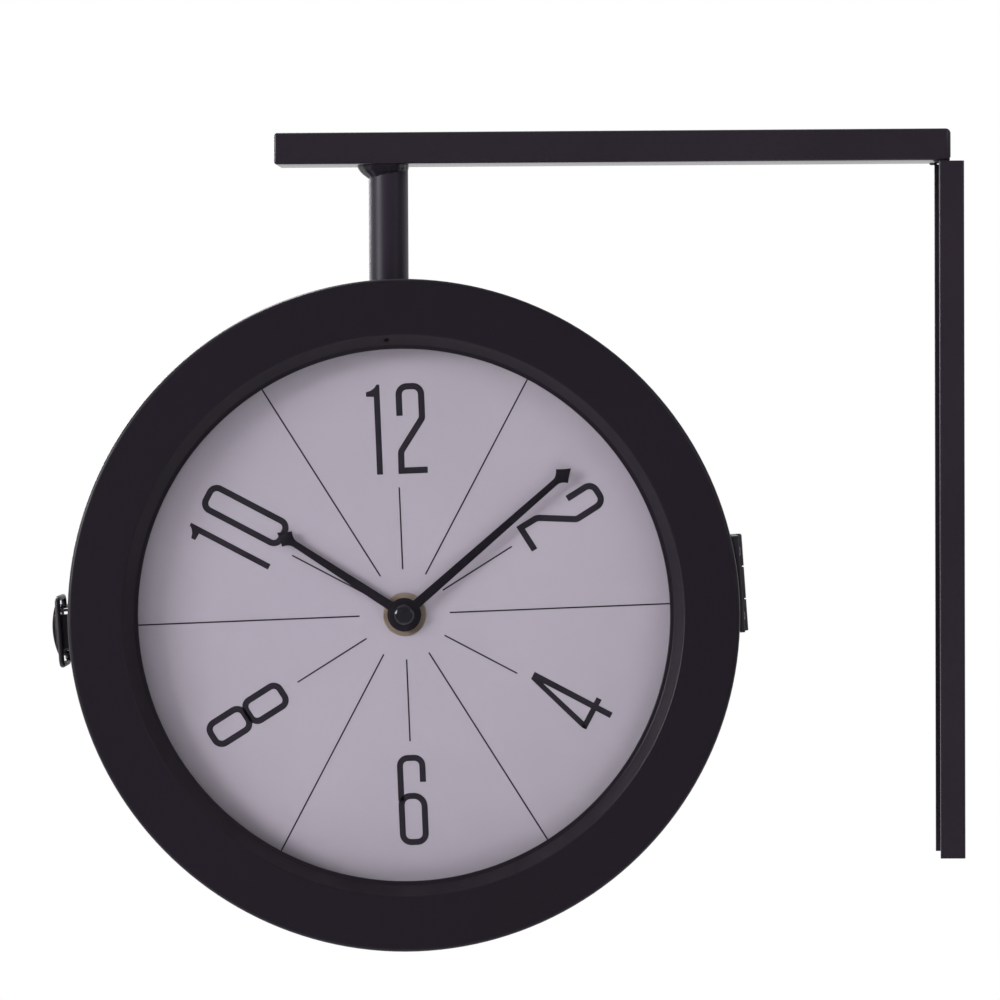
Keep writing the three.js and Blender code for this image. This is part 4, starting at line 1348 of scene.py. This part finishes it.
@dataclass
class Hands:
    """The hands of one dial with their cap, washer and nut."""

    side: Side
    thick: float = 0.4
    hour_length: float = 60.7
    hour_hub: float = 6.75
    hour_turn: float = 305.2
    hour_out: float = 2.7
    hour_hole: float = 2.05
    minute_length: float = 88.9
    minute_hub: float = 6.0
    minute_turn: float = 51.1
    minute_out: float = 3.4
    minute_hole: float = 1.35
    stamped_round: float = 0.07
    root_half: float = 1.9
    neck_half: float = 1.35
    spade_half: float = 3.7
    spade_length: float = 8.6
    shoulder: float = 4.8
    cap_radius: float = 4.15
    cap_out: float = 3.95
    cap_height: float = 1.3
    cap_bore: float = 0.8
    washer_hole: float = 4.05
    washer_radius: float = 8.7
    washer_low: float = 0.15
    washer_high: float = 0.75

    def make(self) -> None:
        """Builds and dresses the hands and what holds them."""
        for name, length, hub, turn, out, hole in (
            ("hour_hand", self.hour_length, self.hour_hub, self.hour_turn, self.hour_out,
             self.hour_hole),
            ("minute_hand", self.minute_length, self.minute_hub, self.minute_turn,
             self.minute_out, self.minute_hole),
        ):
            bm = self.hand(length, hub, hole, out)
            place = PLACES.half(self.side) @ Matrix.Rotation(math.radians(turn), 4, "Y")
            made = object_from(f"{self.side.value}_{name}_blade", bm, place)
            finish_piece(made, HAND_PAINT, self.side.node(name))
        self.make_cap()
        self.make_washer()
        dress(self.side.node("bush_nut"), BRASS)
        dress(self.side.node("centre_bush"), BRASS)

    def outline(self, length: float, hub: float) -> list[Vector]:
        """One hand's outline pointing along +Y, with drawn-in shoulders under its spade.

        Args:
            length: from the middle to the tip.
            hub: the hub's radius.

        Returns:
            The outline's points, anticlockwise.
        """
        start = math.asin(self.root_half / hub)
        neck = length - self.spade_length
        wide = length - self.shoulder
        right = [Vector((self.root_half, math.sqrt(hub**2 - self.root_half**2), 0)),
                 Vector((self.neck_half, neck - 3.0, 0))]
        steps = 10
        for i in range(steps + 1):
            share = i / steps
            bulge = self.neck_half + (self.spade_half - self.neck_half) * share**2.1
            right.append(Vector((bulge, neck + (wide - neck) * share, 0)))
        for i in range(1, steps):
            share = i / steps
            sweep = self.spade_half * (1 - share) - 0.16 * math.sin(share * math.pi)
            right.append(Vector((max(sweep, 0.05), wide + self.shoulder * share, 0)))
        left = [Vector((-p.x, p.y, 0)) for p in reversed(right)]
        ring = []
        turns = 72
        for i in range(1, turns):
            angle = math.pi / 2 + start + (2 * math.pi - 2 * start) * i / turns
            ring.append(Vector((hub * math.cos(angle), hub * math.sin(angle), 0)))
        return right + [Vector((0, length, 0))] + left + ring

    def hand(self, length: float, hub: float, hole: float, out: float) -> bmesh.types.BMesh:
        """A flat stamped hand with a hole in its hub and slightly rounded edges.

        Args:
            length: from the middle to the tip.
            hub: the hub's radius.
            hole: the radius of the hole.
            out: where its back lies, out of the dial.

        Returns:
            The mesh in the half's frame, pointing along +Z.
        """
        outline = self.outline(length, hub)
        bm = bmesh.new()
        edges = loop_edges(bm, outline)
        bore = bmesh.ops.create_circle(bm, cap_ends=False, radius=hole, segments=48)["verts"]
        ring = list({e for v in bore for e in v.link_edges})
        faces = bmesh.ops.triangle_fill(bm, edges=edges + ring, use_beauty=True,
                                        use_dissolve=False)["geom"]
        faces = [f for f in faces if isinstance(f, bmesh.types.BMFace)]
        thickened(bm, faces, self.thick)
        rims = [
            e for e in bm.edges
            if len(e.link_faces) == 2 and e.calc_face_angle(0.0) > math.radians(60)
            and abs(e.verts[0].co.z - e.verts[1].co.z) < 1e-4
        ]
        bevelled(bm, rims, self.stamped_round, 2)
        stand = Matrix.Translation((0, -out, 0)) @ Matrix.Rotation(math.pi / 2, 4, "X")
        return turned(bm, stand)

    def make_cap(self) -> None:
        """The domed cap pressed over the minute hand's post."""
        radius, low, high = self.cap_radius, self.cap_out, self.cap_out + self.cap_height
        profile = [(0, high, 0), (radius * 0.82, high - 0.1, 1.3), (radius * 0.98, low + 0.35, 0.2),
                   (radius, low, 0.1), (self.minute_hole, low, 0.05),
                   (self.minute_hole, low + self.cap_bore, 0), (0, low + self.cap_bore, 0)]
        made = object_from(f"{self.side.value}_cap", spun(profile, 64, 8, 0.0),
                           PLACES.half(self.side), 50.0)
        finish_piece(made, CAP_GLOSS, self.side.node("hand_cap"))

    def make_washer(self) -> None:
        """The brass washer on the dial."""
        hole, radius, low, high = (
            self.washer_hole, self.washer_radius, self.washer_low, self.washer_high)
        ring = spun([(hole, low, 0.1), (radius, low, 0.12), (radius, high, 0.18),
                     (hole, high, 0.15)], 96, 3, 0.2)
        made = object_from(f"{self.side.value}_washer", ring, PLACES.half(self.side))
        finish_piece(made, WASHER_BRASS, self.side.node("bush_washer"))


@dataclass
class Movement:
    """The quartz movement behind one dial, dressed on its CAD pieces."""

    side: Side
    finishes: dict = field(default_factory=lambda: {
        "movement_case": MOVEMENT_PLASTIC,
        "movement_cover": MOVEMENT_PLASTIC,
        "drive_coil": COPPER,
        "circuit_board": BOARD_MASK,
        "hour_wheel": WHEEL_PLASTIC,
        "minute_arbor": WHEEL_PLASTIC,
        "minute_wheel": WHEEL_PLASTIC,
        "setting_knob": WHEEL_PLASTIC,
    })

    def make(self) -> None:
        """Dresses the movement."""
        for name, finish in self.finishes.items():
            dress(self.side.node(name), finish)
        dress(self.side.node("battery"), JACKETS[self.side])


# ---------------------------------------------------------------- hinge


@dataclass
class Hinge:
    """The butt hinge at the case's right: two riveted leaves, three knuckles and a pin."""

    axis_x: float = 135.7
    seam_y: float = -16.0
    length: float = 38.6
    rise: float = 2.8
    gap: float = 0.5
    knuckle: float = 1.3
    bore: float = 0.8
    pin: float = 0.6
    pin_past: float = 0.1
    pin_head: float = 1.0
    pin_head_high: float = 0.25
    leaf_x: float = 134.4
    leaf_thick: float = 1.0
    leaf_reach: float = 13.0
    relief: float = 1.6
    rivet: float = 1.7
    rivet_high: float = 0.6

    def make(self) -> None:
        """Builds both leaves and the pin."""
        finish_piece(self.leaf("hinge_rear", 1, (0, 2)), HINGE_COAT, "hinge_leaf_rear")
        finish_piece(self.leaf("hinge_front", -1, (1,)), HINGE_COAT, "hinge_leaf_front")
        low = self.rise - self.length / 2 - self.pin_past
        high = low + self.length + 2 * self.pin_past
        top = high + self.pin_head_high
        pin = spun([(0, low, 0), (self.pin, low, 0.15), (self.pin, high, 0),
                    (self.pin_head, high, 0.05), (self.pin_head, top, 0.15), (0, top, 0)],
                   32, 4, 0.0)
        made = object_from("hinge_axle", pin, PLACES.fittings() @ self.axis())
        finish_piece(made, FITTING_COAT, "hinge_pin")

    def axis(self) -> Matrix:
        """Stands a spun piece on the hinge's axis."""
        return Matrix.Translation((self.axis_x, self.seam_y, 0)) @ UPRIGHT

    def leaf(self, name: str, way: int, knuckles: tuple[int, ...]) -> bpy.types.Object:
        """One leaf with its knuckles and rivets.

        Args:
            name: the piece's name.
            way: 1 for the leaf towards the rear, -1 for the one towards the front.
            knuckles: which of the three knuckles it carries, from the bottom.

        Returns:
            The piece.
        """
        low = self.rise - self.length / 2
        pitch = (self.length + self.gap) / 3
        near, far = way * self.relief + self.seam_y, way * self.leaf_reach + self.seam_y
        middle_x = self.leaf_x + self.leaf_thick / 2
        steps = 12
        heights = [low + self.length * i / steps for i in range(steps + 1)]
        outline = [Vector((math.sqrt(self.leaf_x**2 - z**2), z, 0)) for z in heights]
        outline += [Vector((self.leaf_x + self.leaf_thick, z, 0)) for z in (heights[-1], low)]
        # The drawing's height becomes the case's, and its run goes along the case's side.
        lie = Matrix(((1, 0, 0, 0), (0, 0, 1, 0), (0, 1, 0, 0), (0, 0, 0, 1)))
        plate = turned(pressed(outline, min(near, far), max(near, far)), lie)
        bmesh.ops.recalc_face_normals(plate, faces=plate.faces)
        parts = [soften(plate, 0.15)]
        for index in knuckles:
            start = low + index * pitch
            end = start + pitch - self.gap
            barrel = spun([(self.bore, start, 0.1), (self.knuckle, start, 0.15),
                           (self.knuckle, end, 0.15), (self.bore, end, 0.1)], 36, 3, 0.0)
            parts.append(turned(barrel, self.axis()))
            reach = way * (self.relief + 0.6)
            parts.append(soften(block(
                (self.leaf_thick, abs(reach) - 0.9, end - start),
                (middle_x, self.seam_y + (reach + way * 0.9) / 2, (start + end) / 2)), 0.1))
        for z in (self.rise - self.length / 3, self.rise + self.length / 3):
            y = way * (self.relief + self.leaf_reach) / 2 + self.seam_y
            place = Matrix.Translation((self.leaf_x + self.leaf_thick - 0.05, y, z)) @ SIDEWAYS
            parts.append(turned(dome(self.rivet, self.rivet_high, 0.0, 24), place))
        return object_from(name, together(*parts), PLACES.fittings())


# ---------------------------------------------------------------- latch


@dataclass
class Latch:
    """The draw latch at the case's left: base, crowned lever, pin, wire bail and catch."""

    case_radius: float = 134.1
    seam_y: float = 16.0
    rise: float = 2.8
    pivot_x: float = 140.1
    pivot_y: float = 6.0
    bail_x: float = 139.5
    bail_y: float = 2.0
    ear: float = 8.4
    cheek_in: float = 8.7
    cheek_out: float = 9.7
    lever_length: float = 19.0
    lever_top: float = 10.5
    crown: float = 1.6
    eye: float = 2.2
    wire: float = 0.8
    wire_look: float = 1.1
    bail_half: float = 13.4
    cross_x: float = 138.9
    cross_y: float = 25.0
    bend: float = 2.59
    catch_half: float = 7.0
    catch_top: float = 6.6
    ear_eye: float = 2.05
    eye_hole: float = 1.1
    pin: float = 0.9
    pin_head: float = 1.3
    pin_head_high: float = 0.5
    rivet_size: float = 1.7
    rivet_high: float = 0.6
    rivet_foot: float = 1.25

    def frame(self) -> Matrix:
        """The latch's frame, raised to its line."""
        return PLACES.latch() @ Matrix.Translation((0, 0, self.rise))

    def make(self) -> None:
        """Builds the five pieces."""
        self.make_base()
        self.make_lever()
        self.make_pin()
        self.make_bail()
        self.make_catch()

    def barrel(self, radius: float, x: float, y: float, z0: float, z1: float,
               bore: float = 0.0) -> bmesh.types.BMesh:
        """A round eye or pin along Z at (x, y) from z0 to z1, with a bore if it is over 0."""
        profile = [(bore, z0, 0), (radius, z0, 0.12), (radius, z1, 0.12), (bore, z1, 0)]
        bm = spun(profile, 32, 2, 0.0)
        return turned(bm, Matrix.Translation((x, y, 0)) @ UPRIGHT)

    def rivet(self, y: float, z: float) -> bmesh.types.BMesh:
        """A domed rivet that stands on a plate against the case."""
        place = Matrix.Translation((self.case_radius + self.rivet_foot, y, z))
        return turned(dome(self.rivet_size, self.rivet_high, 0.0, 24), place @ SIDEWAYS)

    def make_base(self) -> None:
        """The riveted plate with its two ears."""
        front, back = self.seam_y - 2, self.seam_y - 25
        foot = self.case_radius + 0.3
        parts = [soften(block((1, front - back, 2 * self.ear),
                              (foot + 0.5, (front + back) / 2, 0)), 0.25, 3)]
        for z0 in (-self.ear, self.ear - 1):
            parts.append(soften(block(
                (self.pivot_x - foot - 0.4, 4.1, 1.0),
                ((self.pivot_x + foot) / 2, self.pivot_y, z0 + 0.5)), 0.12))
            parts.append(self.barrel(self.ear_eye, self.pivot_x, self.pivot_y, z0, z0 + 1,
                                     self.eye_hole))
        for y in (back + 3.4, front - 3.4):
            parts.append(self.rivet(y, 0))
        made = object_from("latch_plate", together(*parts), self.frame())
        finish_piece(made, FITTING_COAT, "latch_base")

    def arch(self, half: float, top: float, sag: float, steps: int) -> list[Vector]:
        """A crowned line across the lever, from +half to -half."""
        radius = (half**2 + sag**2) / (2 * sag)
        reach = math.asin(half / radius)
        return [Vector((top - radius + radius * math.cos(reach * (1 - 2 * i / steps)),
                        radius * math.sin(reach * (1 - 2 * i / steps)), 0))
                for i in range(steps + 1)]

    def make_lever(self) -> None:
        """The crowned channel with its eyes and its thumb tab."""
        low, top = self.pivot_x - self.eye, self.case_radius + self.lever_top
        outer = self.arch(self.cheek_out, top, self.crown, 16)
        inner = self.arch(self.cheek_in, top - 1,
                          self.crown * (self.cheek_in / self.cheek_out) ** 2, 16)
        outline = ([Vector((low, self.cheek_out, 0))] + outer
                   + [Vector((low, -self.cheek_out, 0)), Vector((low, -self.cheek_in, 0))]
                   + inner[::-1] + [Vector((low, self.cheek_in, 0))])
        channel = pressed(outline, 1 - self.pivot_y, self.lever_length - self.pivot_y)
        # The drawing's +Y becomes the case's height and its run goes to the rear.
        lie = Matrix(((1, 0, 0, 0), (0, 0, -1, 0), (0, 1, 0, 0), (0, 0, 0, 1)))
        parts = [soften(turned(channel, lie), 0.2, 3, 40.0)]
        for z0 in (-self.cheek_out, self.cheek_in):
            parts.append(self.barrel(self.eye, self.pivot_x, self.pivot_y, z0, z0 + 1,
                                     self.eye_hole))
            parts.append(soften(block(
                (self.eye * 1.5 - 0.1, 3.0, 0.98),
                (self.pivot_x - self.eye * 0.25, self.pivot_y - 0.5, z0 + 0.5)), 0.12))
        shoulder = top - self.crown
        far = self.pivot_y - self.lever_length
        tab = block((1.0, 3.0, 2 * self.cheek_in - 0.2), (shoulder, far - 0.5, 0))
        parts.append(soften(tab, 0.35, 4))
        made = object_from("latch_thumb_lever", together(*parts), self.frame())
        finish_piece(made, FITTING_COAT, "latch_lever")

    def make_pin(self) -> None:
        """The pin through ears and lever, with a head at each end."""
        end = self.cheek_out + 0.3
        parts = [self.barrel(self.pin, self.pivot_x, self.pivot_y, -end, end)]
        for z0 in (-end - self.pin_head_high, end):
            parts.append(self.barrel(self.pin_head, self.pivot_x, self.pivot_y, z0,
                                     z0 + self.pin_head_high))
        made = object_from("latch_pivot", together(*parts), self.frame())
        finish_piece(made, STEEL, "latch_pin")

    def make_bail(self) -> None:
        """The bent wire loop, swept along its path as a curve and kept as a mesh."""
        corners = [
            Vector((self.bail_x, self.bail_y, self.cheek_in + 0.15)),
            Vector((self.bail_x, self.bail_y, self.bail_half)),
            Vector((self.cross_x, self.cross_y, self.bail_half)),
            Vector((self.cross_x, self.cross_y, -self.bail_half)),
            Vector((self.bail_x, self.bail_y, -self.bail_half)),
            Vector((self.bail_x, self.bail_y, -self.cheek_in - 0.15)),
        ]
        path = [corners[0]]
        for before, spot, after in zip(corners, corners[1:], corners[2:]):
            path += corner_arc(before, spot, after, self.bend, 12)
        path.append(corners[-1])
        curve = bpy.data.curves.new("bail_path", "CURVE")
        curve.dimensions = "3D"
        curve.bevel_depth = self.wire_look
        curve.bevel_resolution = 5
        curve.use_fill_caps = True
        spline = curve.splines.new("POLY")
        spline.points.add(len(path) - 1)
        for point, spot in zip(spline.points, path):
            point.co = (*spot, 1.0)
        holder = bpy.data.objects.new("bail_path", curve)
        bpy.context.scene.collection.objects.link(holder)
        bpy.context.view_layer.update()
        swept = bpy.data.meshes.new_from_object(
            holder.evaluated_get(bpy.context.evaluated_depsgraph_get()))
        bm = bmesh.new()
        bm.from_mesh(swept)
        bpy.data.objects.remove(holder)
        bpy.data.curves.remove(curve)
        made = object_from("latch_wire", tidy(bm), self.frame(), 50.0)
        finish_piece(made, FITTING_COAT, "latch_bail")

    def make_catch(self) -> None:
        """The riveted foot with the hook that the wire pulls on."""
        near = self.cross_y - self.wire - 0.3
        foot = self.case_radius + 0.3
        start = self.seam_y + 0.6
        parts = [soften(block((1, near - start, 2 * self.catch_half),
                              (foot + 0.5, (near + start) / 2, 0)), 0.2, 3)]
        hook = soften(block((self.catch_top - 0.3, 1.0, 2 * self.catch_half),
                            (foot + (self.catch_top - 0.3) / 2, near - 0.5, 0)), 0.25, 3)
        parts.append(hook)
        for z in (-self.catch_half / 2, self.catch_half / 2):
            parts.append(self.rivet((self.seam_y + near - 1) / 2, z))
        made = object_from("latch_keeper", together(*parts), self.frame())
        finish_piece(made, FITTING_COAT, "latch_catch")


# ---------------------------------------------------------------- studio


@dataclass(frozen=True)
class Lamp:
    """A soft rectangular lamp; its place and size are in metres, its power in watts."""

    name: str
    place: Point3
    size: Point2
    power: float

    def make(self, aim: Point3) -> None:
        """Puts the lamp up.

        Args:
            aim: the point that it faces, in metres.
        """
        data = bpy.data.lights.new(self.name, "AREA")
        data.shape = "RECTANGLE"
        data.size, data.size_y = self.size
        data.energy = self.power
        lamp = bpy.data.objects.new(self.name, data)
        spot = Vector(self.place)
        turn = (Vector(aim) - spot).to_track_quat("-Z", "Y").to_matrix().to_4x4()
        lamp.matrix_world = Matrix.Translation(spot) @ turn
        bpy.context.scene.collection.objects.link(lamp)


# The key lamp at the left in front, weaker ones at the right and below, and two behind.
LAMPS = (
    Lamp("key_lamp", (-3.0, -1.8, 0.7), (1.3, 1.3), 80.0),
    Lamp("fill_lamp", (2.2, -2.2, 1.2), (1.2, 1.6), 12.0),
    Lamp("low_lamp", (-0.3, -2.0, -1.1), (1.6, 0.6), 19.0),
    Lamp("rear_lamp", (-2.3, 2.5, 1.0), (1.3, 1.3), 70.0),
    Lamp("top_lamp", (-1.3, 1.0, 2.5), (1.0, 1.0), 60.0),
)


@dataclass
class Studio:
    """Camera, lamps, pale floor and white surroundings.

    The turns say where, along Y, the dim room in front gives way to the white back: by direction
    for the world and in metres for the floor.
    """

    eye: Point3 = (-127.73, -1708.76, 46.30)
    yaw: float = -1.988
    pitch: float = -1.402
    roll: float = -0.273
    lens: float = 151.67
    sensor: float = 36.0
    lamp_aim: Point3 = (-0.2, 0.0, -0.04)
    floor_z: float = -560.0
    room: float = 0.14
    fill: float = 0.5
    world_turn: Point2 = (-0.25, 0.2)
    floor_turn: Point2 = (-0.6, 0.0)
    shadow_reach: Point2 = (0.7, 2.2)
    shadow_white: float = 0.95

    def make(self) -> None:
        """Builds the studio."""
        self.make_camera()
        for lamp in LAMPS:
            lamp.make(self.lamp_aim)
        self.make_world()
        self.make_floor()
        bpy.context.scene.view_settings.view_transform = "Standard"

    def make_camera(self) -> None:
        """The camera at the photograph's viewing angle."""
        yaw, pitch, roll = (math.radians(a) for a in (self.yaw, self.pitch, self.roll))
        ahead = Vector((math.sin(yaw) * math.cos(pitch), math.cos(yaw) * math.cos(pitch),
                        math.sin(pitch)))
        right = ahead.cross(Vector((0, 0, 1))).normalized()
        up = right.cross(ahead)
        side = right * math.cos(roll) + up * math.sin(roll)
        top = up * math.cos(roll) - right * math.sin(roll)
        turn = Matrix((side, top, -ahead)).transposed().to_4x4()
        data = bpy.data.cameras.new("camera")
        data.lens, data.sensor_width = self.lens, self.sensor
        data.clip_start, data.clip_end = 0.05, 60.0
        camera = bpy.data.objects.new("camera", data)
        camera.matrix_world = Matrix.Translation(Vector(self.eye) * MM) @ turn
        bpy.context.scene.collection.objects.link(camera)
        bpy.context.scene.camera = camera

    def mirrored(
        self, graph: Graph, path: bpy.types.Node, place: bpy.types.NodeSocket, turn: Point2
    ) -> tuple[bpy.types.NodeSocket, bpy.types.NodeSocket]:
        """What gloss and glass find: dim in front of the clock and white behind it.

        Args:
            graph: the graph.
            path: its light path node.
            place: the direction or the place whose Y is looked at.
            turn: where on Y the dim part ends and the white part starts.

        Returns:
            The mask of glossy and transmission rays, and the brightness that they find.
        """
        depth = graph.add("SeparateXYZ", Vector=place).outputs["Y"]
        room = graph.remap(depth, *turn, self.room, 1.0)
        passed = graph.greatest(
            path.outputs["Is Glossy Ray"], path.outputs["Is Transmission Ray"])
        return passed, graph.math("MULTIPLY", passed, room)

    def make_world(self) -> None:
        """White for the camera; gloss and glass find a white back and a dim room in front."""
        world = bpy.data.worlds.new("studio")
        world.use_nodes = True
        bpy.context.scene.world = world
        graph = Graph(world.node_tree)
        path = graph.add("LightPath")
        way = graph.add("TexCoord").outputs["Generated"]
        mirrored = self.mirrored(graph, path, way, self.world_turn)[1]
        lit = graph.math("MULTIPLY", path.outputs["Is Diffuse Ray"], self.fill)
        strength = graph.greatest(path.outputs["Is Camera Ray"], mirrored, lit)
        shade = world.node_tree.nodes["Background"]
        shade.inputs["Color"].default_value = (1.0, 1.0, 1.0, 1.0)
        world.node_tree.links.new(strength, shade.inputs["Strength"])

    def make_floor(self) -> None:
        """A pale floor under the clock that keeps its shadow."""
        bm = bmesh.new()
        bmesh.ops.create_grid(bm, x_segments=8, y_segments=8, size=6000.0)
        floor = object_from("floor", bm, Matrix.Translation((0, 0, self.floor_z)))
        material, graph, shader = start_material("pale_floor")
        grain = place_group(
            graph, surface_grain(), First=(0.9, 0.9, 0.9, 1.0), Second=(0.88, 0.88, 0.88, 1.0),
            Drift_Scale=1.5, Grain_Scale=300.0, Grain_Depth=0.0, Rough_Low=0.7, Rough_High=0.8,
        )
        join(shader, grain.outputs["Colour"], grain)
        path = graph.add("LightPath")
        spot = graph.add("TexCoord").outputs["Object"]
        camera = path.outputs["Is Camera Ray"]
        passed, mirrored = self.mirrored(graph, path, spot, self.floor_turn)
        reach = graph.add("VectorMath", {"operation": "LENGTH"}, i0=spot).outputs["Value"]
        white = graph.remap(reach, *self.shadow_reach, self.shadow_white, 1.0)
        share = graph.math("MULTIPLY", graph.greatest(camera, passed), white)
        glow = graph.add("Emission", Color=(1.0, 1.0, 1.0, 1.0),
                         Strength=graph.greatest(camera, mirrored))
        graph.surface(share, shader, glow)
        floor.data.materials.append(material)


# ---------------------------------------------------------------- the whole clock


def build(name: str, make: Callable[[], None]) -> None:
    """Makes one sub-assembly and reports it."""
    LOG.info("sub-assembly: %s", name)
    make()


def main() -> None:
    """Builds the studio and every sub-assembly in order."""
    logging.basicConfig(level=logging.INFO, format="%(name)s: %(message)s")
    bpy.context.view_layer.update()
    build("studio", Studio().make)
    build("bracket", Bracket().make)
    for side in Side:
        build(f"{side.value} case", CaseHalf(side).make)
        build(f"{side.value} dial", DialPrint(side).make)
        build(f"{side.value} movement", Movement(side).make)
        build(f"{side.value} hands", Hands(side).make)
    build("hinge", Hinge().make)
    build("latch", Latch().make)


if __name__ == "__main__":
    main()
